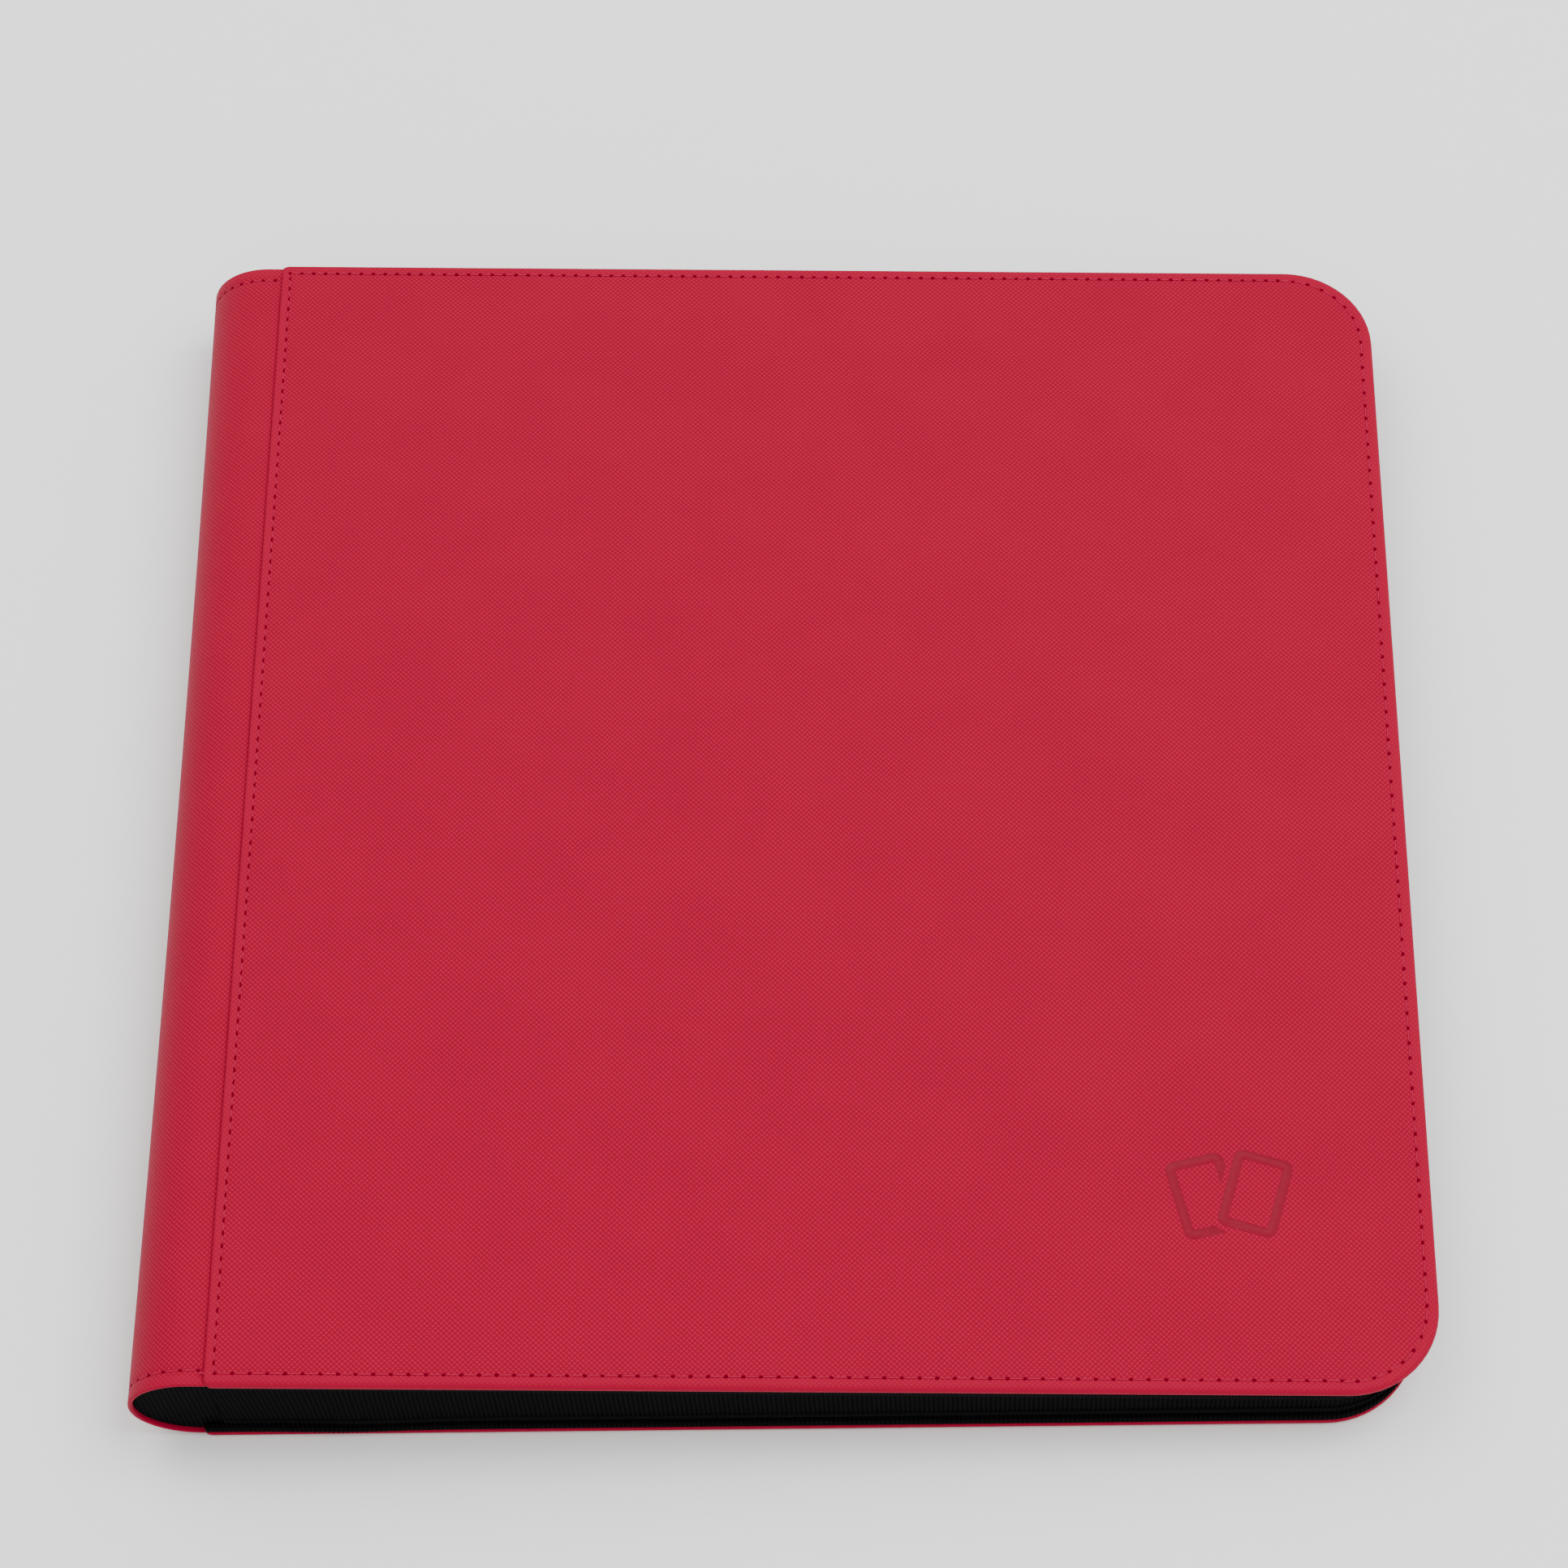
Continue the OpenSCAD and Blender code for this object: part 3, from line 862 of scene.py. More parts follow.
SPINE_SECTION = skin_section()
SPINE_WAY = running_length(SPINE_SECTION)
print("spine section of", len(SPINE_SECTION), "points,", round(SPINE_WAY[-1]), "mm along the cloth")

# %% [markdown]
# That section is carried round the circle. The first piece also runs into the
# back cover by its hem. The last one runs straight on to the front cover and
# then in by its hem.

# %% Spine cloth
HIDDEN_RUN = HEM / SPINE_R
RUN = run / SPINE_R
BEND_R = 16.5


def fold_angles(i, step=math.radians(1.6)):
    """The angles of piece i, with its hidden runs into the covers at both ends of the row."""
    start, end = (i - 1) * FOLD, i * FOLD
    count = max(2, round((end - start) / step))
    angles = [start + (end - start) * k / count for k in range(count + 1)]
    if i == 1:
        angles = [-HIDDEN_RUN, -0.02] + angles
    if i == 4:
        angles = angles + [end + RUN * 0.5, end + RUN, end + RUN + HIDDEN_RUN]
    return angles


def bend(piece, i):
    """Bakes the piece's transform into its mesh. The two places inside the spine wall round fold i are worked
    out but not used.
    """
    places = [spine_point(k * FOLD, SPINE_HALF, BEND_R) for k in (i - 1, i)]
    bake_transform(piece)


STRIP_NODES = {1: "back_hem", 2: "back", 3: "middle", 4: "front"}


def spine_skin_piece(i):
    rings, cloth = [], []
    for theta in fold_angles(i):
        hidden = theta < 0 or theta > 4 * FOLD + RUN
        inset = 1.0 if hidden else 0.0
        scale = (SPINE_HALF - inset) / SPINE_HALF
        rings.append([spine_point(theta, y * scale, r) for y, r in SPINE_SECTION])
        cloth += [(theta * SPINE_R, w) for w in SPINE_WAY]
    points, faces, caps = loft(rings)
    fade = []
    for y, r in SPINE_SECTION:
        near_end = SPINE_HALF - abs(y) < EASED_WITHIN
        fade.append(1.0 if SPINE_R - r > EASED_BELOW else 0.5 if near_end else 0.0)
    eased = fade * len(rings)
    return mesh_from(f"spine_cloth_{i}", points, faces, cloth, caps, None, eased)


for i in (1, 2, 3, 4):
    piece = new_object(f"spine_cloth_{i}", spine_skin_piece(i), red_cloth)
    bend(piece, i)
    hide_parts(f"spine_skin_{STRIP_NODES[i]}")
    if i == 4:
        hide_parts("spine_skin_front_hem")
print("spine cloth in four pieces,", len(fold_angles(2)), "rings each")

# %% [markdown]
# ## The spine's lining
#
# Inside the red cloth lies a thin black lining, again in four pieces. It uses
# the same circle formula, one cloth thickness further in, and stops where the
# red cloth's turned edges begin.

# %% Spine lining
LINING_OUT = SPINE_R - SKIN_T - 0.02
LINING_IN = SPINE_R - SKIN_T - 0.4
LINING_HALF = SPINE_HALF - TURNED_W - 0.6


def spine_lining_piece(i):
    outer = [(-LINING_HALF + 2 * LINING_HALF * k / 24, LINING_OUT) for k in range(25)]
    section = outer + [(y, LINING_IN) for y, _ in reversed(outer)]
    rings = [[spine_point(theta, y, r) for y, r in section] for theta in fold_angles(i)]
    cloth = [(theta * SPINE_R, y) for theta in fold_angles(i) for y, _ in section]
    points, faces, caps = loft(rings)
    return mesh_from(f"spine_lining_cloth_{i}", points, faces, cloth, caps)


for i in (1, 2, 3, 4):
    piece = new_object(f"spine_lining_cloth_{i}", spine_lining_piece(i), black_lining)
    bend(piece, i)
    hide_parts(f"spine_lining_{STRIP_NODES[i]}")
    if i == 4:
        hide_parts("spine_lining_front_hem")
print("spine lining", round(2 * LINING_HALF), "mm long")

# %% [markdown]
# ## Cover linings
#
# Each cover is lined with the same black weave, turned under all round and sewn
# down just inside the zip tape. The front cover is wider than the gusset is, so
# its lining stops shorter at the fore-edge.

# %% Cover linings
def lining_mesh(body, short):
    top = COVER_T + 0.04
    section = [(2.2, 1.2, 2.62), (2.2, 1.2, 2.8), (2.5, 1.5, top - 0.06), (3.2, 2.2, top)]
    section += [(4.0, 3.0, top - 0.12), (4.8, 3.8, top), (7.5, 6.5, top + 0.05)]
    rings, cloth = [], []
    for side, seam, depth in section:
        at = short_outline(side, seam, short)
        rings.append(np.column_stack([at, np.full(len(at), depth)]))
        cloth += [tuple(p) for p in at]
    points, faces, caps = loft(rings)
    points = PLACES[body](points)
    return mesh_from(body + "_inner_lining", points, faces, cloth, caps)


for body, node, short in (("back_cover", "back_lining", 0.0), ("front_cover", "front_lining", FRONT_SHORT)):
    lining = new_object(body + "_inner_lining", lining_mesh(body, short), black_lining)
    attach(lining, body)
    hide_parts(node)
print("front lining stops", round(FRONT_SHORT, 1), "mm shorter")

# %% [markdown]
# ## A row of repeats with Geometry Nodes
#
# Stitches, ribs and zip coils are all the same task: one small unit, copied at
# a fixed pitch along a path and turned to face outwards. The node group does
# that. The path carries its outward direction in a point attribute named up.
# The first rotation turns the unit's Z to it, the second turns X to the path.
# The path is trimmed to a whole number of gaps first, so that two rows on one
# path, such as holes and threads, stay in step all the way.

# %% The row node group


def row_group():
    group = bpy.data.node_groups.new("row_of_units", "GeometryNodeTree")
    face = group.interface
    inputs = {"Path": "Geometry", "Start": "Float", "End": "Float", "Count": "Int"}
    inputs.update({"Unit": "Object", "Finish": "Material", "Uneven": "Float"})
    for name, kind in inputs.items():
        face.new_socket(name, in_out="INPUT", socket_type="NodeSocket" + kind)
    face.new_socket("Row", in_out="OUTPUT", socket_type="NodeSocketGeometry")
    node = group.nodes.new
    link = group.links.new
    given = node("NodeGroupInput")
    curve = node("GeometryNodeMeshToCurve")
    link(given.outputs["Path"], curve.inputs["Mesh"])
    trim = node("GeometryNodeTrimCurve")
    trim.mode = "LENGTH"
    link(curve.outputs["Curve"], trim.inputs["Curve"])
    link(given.outputs["Start"], trim.inputs[4])
    link(given.outputs["End"], trim.inputs[5])
    spaced = node("GeometryNodeResampleCurve")
    spaced.mode = "COUNT"
    link(trim.outputs["Curve"], spaced.inputs["Curve"])
    link(given.outputs["Count"], spaced.inputs["Count"])
    outward = node("GeometryNodeInputNamedAttribute")
    outward.data_type = "FLOAT_VECTOR"
    outward.inputs["Name"].default_value = "up"
    face_out = node("FunctionNodeAlignRotationToVector")
    face_out.axis = "Z"
    link(outward.outputs["Attribute"], face_out.inputs["Vector"])
    tangent = node("GeometryNodeInputTangent")
    face_along = node("FunctionNodeAlignRotationToVector")
    face_along.axis = "X"
    face_along.pivot_axis = "Z"
    link(face_out.outputs["Rotation"], face_along.inputs["Rotation"])
    link(tangent.outputs["Tangent"], face_along.inputs["Vector"])
    unit = node("GeometryNodeObjectInfo")
    link(given.outputs["Unit"], unit.inputs["Object"])
    size = node("FunctionNodeRandomValue")
    size.data_type = "FLOAT"
    for operation, limit in (("SUBTRACT", 2), ("ADD", 3)):
        bound = node("ShaderNodeMath")
        bound.operation = operation
        bound.inputs[0].default_value = 1.0
        link(given.outputs["Uneven"], bound.inputs[1])
        link(bound.outputs[0], size.inputs[limit])
    size.inputs["Seed"].default_value = 7
    copies = node("GeometryNodeInstanceOnPoints")
    link(spaced.outputs["Curve"], copies.inputs["Points"])
    link(unit.outputs["Geometry"], copies.inputs["Instance"])
    link(face_along.outputs["Rotation"], copies.inputs["Rotation"])
    link(size.outputs[1], copies.inputs["Scale"])
    real = node("GeometryNodeRealizeInstances")
    link(copies.outputs["Instances"], real.inputs["Geometry"])
    finish = node("GeometryNodeSetMaterial")
    link(real.outputs["Geometry"], finish.inputs["Geometry"])
    link(given.outputs["Finish"], finish.inputs["Material"])
    out = node("NodeGroupOutput")
    link(finish.outputs["Geometry"], out.inputs["Row"])
    return group


ROW_GROUP = row_group()
ROW_INPUTS = {s.name: s.identifier for s in ROW_GROUP.interface.items_tree if s.in_out == "INPUT"}
print("row group with", len(ROW_GROUP.nodes), "nodes and the inputs", list(ROW_INPUTS))

# %% [markdown]
# The group works in metres and wants whole numbers of gaps, so a small function
# sets its inputs, reads the result back as a plain mesh and throws the path
# away. Rows on one body are joined into one piece.

# %% Rows as plain meshes


def made_mesh(thing, name):
    """The mesh that an object's modifiers make, shaded smooth."""
    graph = bpy.context.evaluated_depsgraph_get()
    made = bpy.data.meshes.new_from_object(thing.evaluated_get(graph), depsgraph=graph)
    made.name = name
    made.polygons.foreach_set("use_smooth", [True] * len(made.polygons))
    return made


def row_of(name, path, outward, unit, pitch, start, finish, uneven=0.0):
    """Copies of a unit along a path of points in millimetres, as a plain mesh object."""
    line = bpy.data.meshes.new(name + "_path")
    edges = [(i, i + 1) for i in range(len(path) - 1)]
    line.from_pydata([tuple(p) for p in np.asarray(path) * MM], edges, [])
    up_way = line.attributes.new("up", "FLOAT_VECTOR", "POINT")
    up_way.data.foreach_set("vector", np.asarray(outward, np.float32).ravel())
    carrier = new_object(name + "_path", line)
    row = carrier.modifiers.new("row", "NODES")
    row.node_group = ROW_GROUP
    steps = np.linalg.norm(np.diff(np.asarray(path, float), axis=0), axis=1)
    gaps = int((steps.sum() - start - 0.01) / pitch)
    values = {"Start": start * MM, "End": (start + gaps * pitch) * MM, "Count": gaps + 1}
    values.update({"Unit": unit, "Finish": finish, "Uneven": uneven})
    for key, value in values.items():
        row[ROW_INPUTS[key]] = value
    made = made_mesh(carrier, name)
    bpy.data.objects.remove(carrier)
    return new_object(name, made)


def joined(name, things):
    """One object from several that belong to the same body."""
    built = bmesh.new()
    materials = []
    for thing in things:
        for material in thing.data.materials:
            if material not in materials:
                materials.append(material)
        at = [materials.index(m) for m in thing.data.materials]
        before = len(built.faces)
        built.from_mesh(thing.data)
        built.faces.ensure_lookup_table()
        for face in built.faces[before:]:
            face.material_index = at[face.material_index]
    mesh = bpy.data.meshes.new(name)
    built.to_mesh(mesh)
    built.free()
    for thing in things:
        bpy.data.objects.remove(thing)
    return new_object(name, mesh, *materials)


print("a row takes its pitch and its start in millimetres along the path")

# %% [markdown]
# ## The units
#
# A needle hole is a low dome, painted dark as the shade in the hole. A thread is
# a slim rounded bar between two holes. A rib is half a round cord. A coil is a
# flattened loop of nylon wire, seen from the side as a short rounded block.

# %% Units


def ball_unit(name, length, width, height, segments=8, rings=5):
    built = bmesh.new()
    bmesh.ops.create_uvsphere(built, u_segments=segments, v_segments=rings, radius=0.5)
    bmesh.ops.scale(built, vec=(length * MM, width * MM, height * MM), verts=built.verts)
    mesh = bpy.data.meshes.new(name)
    built.to_mesh(mesh)
    built.free()
    return bpy.data.objects.new(name, mesh)


def bar_unit(name, length, width, height, along="x"):
    """A bar with rounded section and tapered ends, lying along x or y."""
    rings = []
    for t, size in ((-0.5, 0.25), (-0.42, 0.8), (-0.2, 1.0), (0.2, 1.0), (0.42, 0.8), (0.5, 0.25)):
        ring = []
        for k in range(6):
            a = math.pi * 2 * k / 6
            across, high = width / 2 * size * math.cos(a), height / 2 * size * math.sin(a)
            ring.append((t * length, across, high) if along == "x" else (across, t * length, high))
        rings.append(ring)
    points, faces, _ = loft(rings)
    return bpy.data.objects.new(name, mesh_from(name, points, faces))


hole_unit = ball_unit("needle_hole_unit", 1.15, 0.9, 0.26)
seam_hole_unit = ball_unit("seam_hole_unit", 1.5, 0.6, 0.24)
print("units", hole_unit.name, seam_hole_unit.name)

# %% [markdown]
# ## Stitches on the covers
#
# Four rows run round each cover. Their pitches differ a little from side to
# side, because each side is sewn on its own. The seam beside the spine is
# pulled tight, so its holes show as short dashes of painted shade.

# %% Cover stitches
PITCH = {"tail": 4.4, "fore": 4.3, "head": 3.4, "seam": 3.5}
ROW_DEPTH = 0.17
ROW_START = 0.6
SEAM_START = 4.4
THREAD_W, THREAD_H = 0.44, 0.34


def cover_paths():
    """(name, points with depth) for each sewn row on a cover."""
    low = ROW_DEPTH
    tail, fore, head = (SIDE_STITCH[k] for k in ("tail", "fore", "head"))
    r = CORNER_R - fore
    middle_u = COVER_W - CORNER_R
    straight = middle_u - ROW_START
    rows_made = [("tail", [(ROW_START + straight * i / 60, tail, low) for i in range(61)])]
    turn_a = [-math.pi / 2 + math.pi / 2 * i / 16 for i in range(17)]
    a = [(middle_u + r * math.cos(t), CORNER_R + r * math.sin(t), low) for t in turn_a]
    b = [(middle_u + r * math.cos(-t), COVER_H - CORNER_R - r * math.sin(t), low) for t in reversed(turn_a)]
    rows_made.append(("fore", a + b))
    rows_made.append(("head", [(middle_u - straight * i / 60, COVER_H - head, low) for i in range(61)]))
    seam = COVER_H - 2 * SEAM_START
    rows_made.append(("seam", [(SEAM_STITCH, SEAM_START + seam * i / 60, low) for i in range(61)]))
    return rows_made


def sewn_row(name, points, outward, pitch, seam=False):
    """Needle holes and the threads between them, along one path."""
    thread_unit = bar_unit(name + "_unit", pitch - (1.4 if seam else 0.9), THREAD_W, THREAD_H)
    hole = seam_hole_unit if seam else hole_unit
    holes = row_of(name + "_holes", points, outward, hole, pitch, 0.5 * pitch, painted_hole_shade, 0.1)
    threads = row_of(name + "_threads", points, outward, thread_unit, pitch, 0.0, red_thread, 0.06)
    return [holes, threads]


for body in ("back_cover", "front_cover"):
    sewn = []
    for side, points in cover_paths():
        placed = PLACES[body](points)
        outward = [OUTWARD[body]] * len(placed)
        sewn += sewn_row(f"{body}_{side}", placed, outward, PITCH[side], side == "seam")
    stitches = joined(body + "_stitches", sewn)
    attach(stitches, body)
    print(stitches.name, len(stitches.data.polygons), "faces")

# %% [markdown]
# ## Stitches round the spine's ends
#
# The same rows go on round both ends of the spine. They must bend with it, so
# they are made per fold, like the cloth they lie on.

# %% Spine stitches
SPINE_ROW_R = SPINE_R - 0.16
for i in (1, 2, 3, 4):
    sewn = []
    for end, side in (("tail", -1), ("head", 1)):
        y, pitch = side * (SPINE_HALF - SPINE_STITCH), PITCH[end]
        start, stop = (i - 1) * FOLD, i * FOLD + (RUN - 0.05 if i == 4 else 0)
        steps = [start + (stop - start) * k / 16 for k in range(17)]
        points = [spine_point(t, y, SPINE_ROW_R) for t in steps]
        outward = [(-math.sin(min(t, 4 * FOLD)), 0, -math.cos(min(t, 4 * FOLD))) for t in steps]
        sewn += sewn_row(f"spine_{end}_{i}", points, outward, FOLD * SPINE_R / round(FOLD * SPINE_R / pitch))
    stitches = joined(f"spine_stitches_{i}", sewn)
    bend(stitches, i)
print("stitches round both spine ends")

# %% [markdown]
# ## The gusset
#
# A tall black wall hangs from the front cover and a low tape stands on the back
# cover. Both follow one path round three sides, and each is a section carried
# along it. The wall's foot bellies out a little where the zip presses it. Near
# the spine it bulges more, where the fabric turns the corner of the fold.

# %% Gusset path
WALL_START = FRONT_X + 1.0
TAPE_START = U_BACK + 0.8
END_BULGE, END_BULGE_AT, END_BULGE_WIDTH = 0.55, 36, 16


def wall_path(inset, begin=WALL_START, straight=70, arc=20):
    """(x, y, outward x, outward y) along the gusset, from the tail's spine end."""
    r = CORNER_R - inset
    corner_x = COVER_W / 2 - CORNER_R
    side_y = COVER_H / 2 - inset
    corner_y = COVER_H / 2 - CORNER_R
    out = [(begin + (corner_x - begin) * i / straight, -side_y, 0, -1) for i in range(straight)]
    for i in range(arc):
        a = -math.pi / 2 + math.pi / 2 * i / arc
        out.append((corner_x + r * math.cos(a), -corner_y + r * math.sin(a), math.cos(a), math.sin(a)))
    out += [(COVER_W / 2 - inset, -corner_y + 2 * corner_y * i / straight, 1, 0) for i in range(straight)]
    for i in range(arc):
        a = math.pi / 2 * i / arc
        out.append((corner_x + r * math.cos(a), corner_y + r * math.sin(a), math.cos(a), math.sin(a)))
    out += [(corner_x - (corner_x - begin) * i / straight, side_y, 0, 1) for i in range(straight + 1)]
    return out


def way_along(begin=WALL_START):
    return np.array(running_length(wall_path(WALL_INSET, begin)))


WAY = way_along()


def spine_end_bulge(way):
    """How far the fabric bulges out where it turns the corner of the fold, near both ends."""
    near = np.minimum(way, way[-1] - way)
    return END_BULGE * np.exp(-((near - END_BULGE_AT) / END_BULGE_WIDTH) ** 2)


print("gusset path", round(WAY[-1]), "mm")

# %% [markdown]
# The section of a wall is a list of levels from its sewn-in flange up or down
# one side and back on the other. Each level has its inset from the cover's
# edge, its height, and its share of the bulge. Heights on the tall wall follow
# the leaning front cover, so they are functions of x.

# %% Gusset walls
LOW_TOP, HIGH_FOOT = 6.9, 7.5
SEWN_IN = 9.5


def under_front(x, depth):
    """Height of a level of the front cover, given by its depth, over a place x."""
    return FRONT_Z - (x - FRONT_X) * math.tan(LEAN) - depth / math.cos(LEAN)


def wall_object(name, levels, material, ribs_slant=0.1, begin=WALL_START):
    """Carries a section along the gusset path. A level is (inset, height at x, 0..1 bulge share)."""
    columns, cloth = [], []
    way = way_along(begin)
    for inset, height, bulge in levels:
        path = wall_path(inset, begin)
        extra = spine_end_bulge(way) * bulge
        x = np.array([p[0] + p[2] * e for p, e in zip(path, extra)])
        y = np.array([p[1] + p[3] * e for p, e in zip(path, extra)])
        z = np.array([height(v) for v in x])
        columns.append(np.column_stack([x, y, z]))
        near = np.minimum(way, way[-1] - way)
        shear = ribs_slant * (1 - smooth(near / 42)) * z * np.where(way < way[-1] / 2, 1, -1)
        cloth.append(np.column_stack([way + shear, z]))
    rings = np.stack(columns, 1)
    flat = np.stack(cloth, 1).reshape(-1, 2)
    points, faces, caps = loft(list(rings))
    return new_object(name, mesh_from(name, points, faces, flat, caps), material)


def level(z):
    return lambda x: z


def hung(depth):
    return lambda x: under_front(x, depth)


def between(share):
    """A height between the wall's foot (0) and the underside of the front cover (1)."""
    return lambda x: HIGH_FOOT + (under_front(x, 2.7) - HIGH_FOOT) * share


LOWER = [(SEWN_IN, 2.2, 0), (1.7, 2.2, 0), (0.8, 2.15, 0.2), (0.3, 2.6, 0.7), (0.2, 3.6, 1), (0.28, 5.0, 1)]
LOWER += [(0.5, 6.1, 1), (0.7, LOW_TOP, 0.9), (1.1, LOW_TOP, 0.9), (0.9, 6.0, 1), (0.68, 5.0, 1)]
LOWER += [(0.6, 3.6, 1), (0.75, 3.0, 0.6), (2.1, 2.62, 0), (SEWN_IN, 2.62, 0)]
lower_levels = [(inset, level(z), bulge) for inset, z, bulge in LOWER]
OUTER = [(1.5, 1.0), (1.5, 0.9), (1.42, 0.75), (1.3, 0.6), (1.12, 0.4), (0.95, 0.2), (0.8, 0.08), (0.76, 0.0)]
upper_levels = [(SEWN_IN, hung(2.2), 0), (1.6, hung(2.2), 0)]
upper_levels += [(inset, between(share), 1 - share) for inset, share in OUTER]
upper_levels += [(inset + TAPE_T, between(share), 1 - share) for inset, share in reversed(OUTER[1:])]
upper_levels += [(2.0, hung(2.66), 0), (SEWN_IN, hung(2.66), 0)]

lower_tape = wall_object("lower_tape", lower_levels, gusset_fabric, begin=TAPE_START)
upper_gusset = wall_object("upper_gusset", upper_levels, gusset_fabric)
for piece, body, node in (
    (lower_tape, "back_cover", "lower_zip_tape"),
    (upper_gusset, "front_cover", "upper_zip_gusset"),
):
    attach(piece, body)
    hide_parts(node)
    print(piece.name, len(piece.data.polygons), "faces")

# %% [markdown]
# ## Edging, ribs and coils
#
# A fine-ribbed edging is sewn to the wall right under the front cover. The zip's
# coil is sewn in from behind, and its stitches press the tape into half-round
# ribs on the outside. The coils themselves lie behind, where only an open
# binder shows them.

# %% Edging and zip
EDGING_H, EDGING_GROWS = 2.6, 2.2


def edging_height(x):
    return EDGING_H + EDGING_GROWS * (x - WALL_START) / (COVER_W / 2 - WALL_START)


def edging_foot(x):
    return under_front(x, 3.0) - edging_height(x)


edging_levels = [
    (1.7, hung(2.75), 0.0),
    (1.22, hung(2.95), 0.0),
    (1.12, lambda x: edging_foot(x) + 1.2, 0.1),
    (1.1, lambda x: edging_foot(x) + 0.2, 0.1),
    (1.25, edging_foot, 0.1),
    (1.7, edging_foot, 0.1),
]
# Painted shade in the edging's grooves and a painted highlight on its ribs.
EDGING_GROOVE_SHADE = (0.0013, 0.0012, 0.0015, 1)
EDGING_RIB_HIGHLIGHT = (0.006, 0.0057, 0.007, 1)
edging_fabric = ribbed_fabric("edging_fabric", 0.8, 0.0, EDGING_GROOVE_SHADE, EDGING_RIB_HIGHLIGHT)
edging = wall_object("gusset_edging", edging_levels, edging_fabric, 0.05)
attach(edging, "front_cover")


def chain_path(inset, z, bulge, begin=WALL_START):
    path = wall_path(inset, begin)
    extra = spine_end_bulge(way_along(begin)) * bulge
    points = [(p[0] + p[2] * e, p[1] + p[3] * e, z) for p, e in zip(path, extra)]
    return points, [(p[2], p[3], 0) for p in path]


RIB_PITCH = 1.2
low_rib = bar_unit("low_rib_unit", 3.9, 0.95, 0.62, along="y")
high_rib = bar_unit("high_rib_unit", 2.9, 0.95, 0.62, along="y")
coil_unit = bar_unit("coil_unit", 3.1, 0.85, 1.7, along="y")
points, outward = chain_path(0.32, 4.75, 1, TAPE_START)
low_ribs = row_of("lower_tape_ribs", points, outward, low_rib, RIB_PITCH, 0.4, gusset_fabric, 0.05)
points, outward = chain_path(0.84, 9.15, 0.92)
high_ribs = row_of("upper_tape_ribs", points, outward, high_rib, RIB_PITCH, 0.9, gusset_fabric, 0.05)
points, outward = chain_path(2.1, 5.75, 0)
low_coils = row_of("lower_coils", points[6:-6], outward[6:-6], coil_unit, RIB_PITCH, 4.0, nylon)
points, outward = chain_path(2.1, 8.65, 0)
high_coils = row_of("upper_coils", points[6:-6], outward[6:-6], coil_unit, RIB_PITCH, 4.6, nylon)
for piece, body, node in (
    (low_ribs, "back_cover", None),
    (high_ribs, "front_cover", None),
    (low_coils, "back_cover", "lower_zip_teeth"),
    (high_coils, "front_cover", "upper_zip_teeth"),
):
    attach(piece, body)
    if node:
        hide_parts(node)
    print(piece.name, len(piece.data.polygons), "faces")

# %% [markdown] ## The spine's end panels  A D of ribbed fabric closes each
# end of the spine.

# %% End panels
PANEL_R = 15.6
PANEL_T = 0.8


def end_panel(name, side):
    """A D-shaped plate, cut off straight where the covers begin."""
    outer_y = side * (COVER_H / 2 - WALL_INSET)
    inner_y = outer_y - side * PANEL_T
    cut = FRONT_X - CENTRE[0] + 0.9
    rings, cloth = [], []
    half = math.acos(max(-1.0, -cut / PANEL_R))
    for y, size in ((inner_y, 1.0), (outer_y - side * 0.2, 1.0), (outer_y, 0.97)):
        ring = []
        for k in range(49):
            a = -half + 2 * half * k / 48
            across, high = PANEL_R * size * math.cos(a), PANEL_R * size * math.sin(a)
            ring.append((CENTRE[0] - across, y, CENTRE[1] + high))
        rings.append(ring)
        cloth += [(p[0] + 0.1 * p[2], p[2]) for p in ring]
    points, faces, caps = loft(rings)
    return new_object(name, mesh_from(name, points, faces, cloth, caps), slanted_fabric)


for side, name in ((-1, "tail_end_panel"), (1, "head_end_panel")):
    panel = end_panel(name.replace("end_panel", "spine_end"), side)
    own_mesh(panel)
    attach(panel, "spine_middle_strip")
    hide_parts(name)
    print(panel.name, len(panel.data.polygons), "faces")

# %% [markdown]
# ## Twenty pocket pages
#
# Every page is the same welded sheet: a thin backing with a grid of low pockets
# on both faces, and a strip of free film that joins it to the binding. Only the
# tilt and the height of its root differ, and those follow from the page number.

# %% Pages
PAGE_COUNT = sum(1 for n in frame["nodes"] if n.startswith("page_") and n[5:].isdigit())
POCKETS_ACROSS, POCKETS_UP = 4, 3
POCKET_W, POCKET_H, WELD = 69.0, 96.0, 2.0
BINDING_MARGIN = 12.0
PAGE_T = 0.45
STACK_GAP = 0.7
FORE_PITCH = 0.74
PAGE_R = 4.0
FREE_HALF, WELD_HALF, POCKET_HALF, CROWN = 0.1, 0.125, 0.215, 0.04
PAGE_W = POCKETS_ACROSS * (POCKET_W + WELD) + WELD + BINDING_MARGIN
PAGE_H = POCKETS_UP * (POCKET_H + WELD) + WELD
FREE = 6.0


def page_place(k):
    """(root x, root z, tilt) of page k, from its joint and its height in the stack."""
    root = joints[f"page_{k:02d}_turn"]["pos_m"]
    root_z = root[2] / MM
    end_z = COVER_T + STACK_GAP + PAGE_T / 2 + (k - 1) * FORE_PITCH
    return root[0] / MM, root_z, math.atan2(end_z - root_z, FREE + PAGE_W)


def page_lines(first, count, size, end):
    """Grid lines across a page: two close ones at each pocket edge, and a few over the pocket."""
    lines = []
    for i in range(count):
        start = first + i * (size + WELD)
        lines += [start, start + 0.3, start + 3, start + size / 3, start + 2 * size / 3]
        lines += [start + size - 3, start + size - 0.3, start + size]
    return lines + end


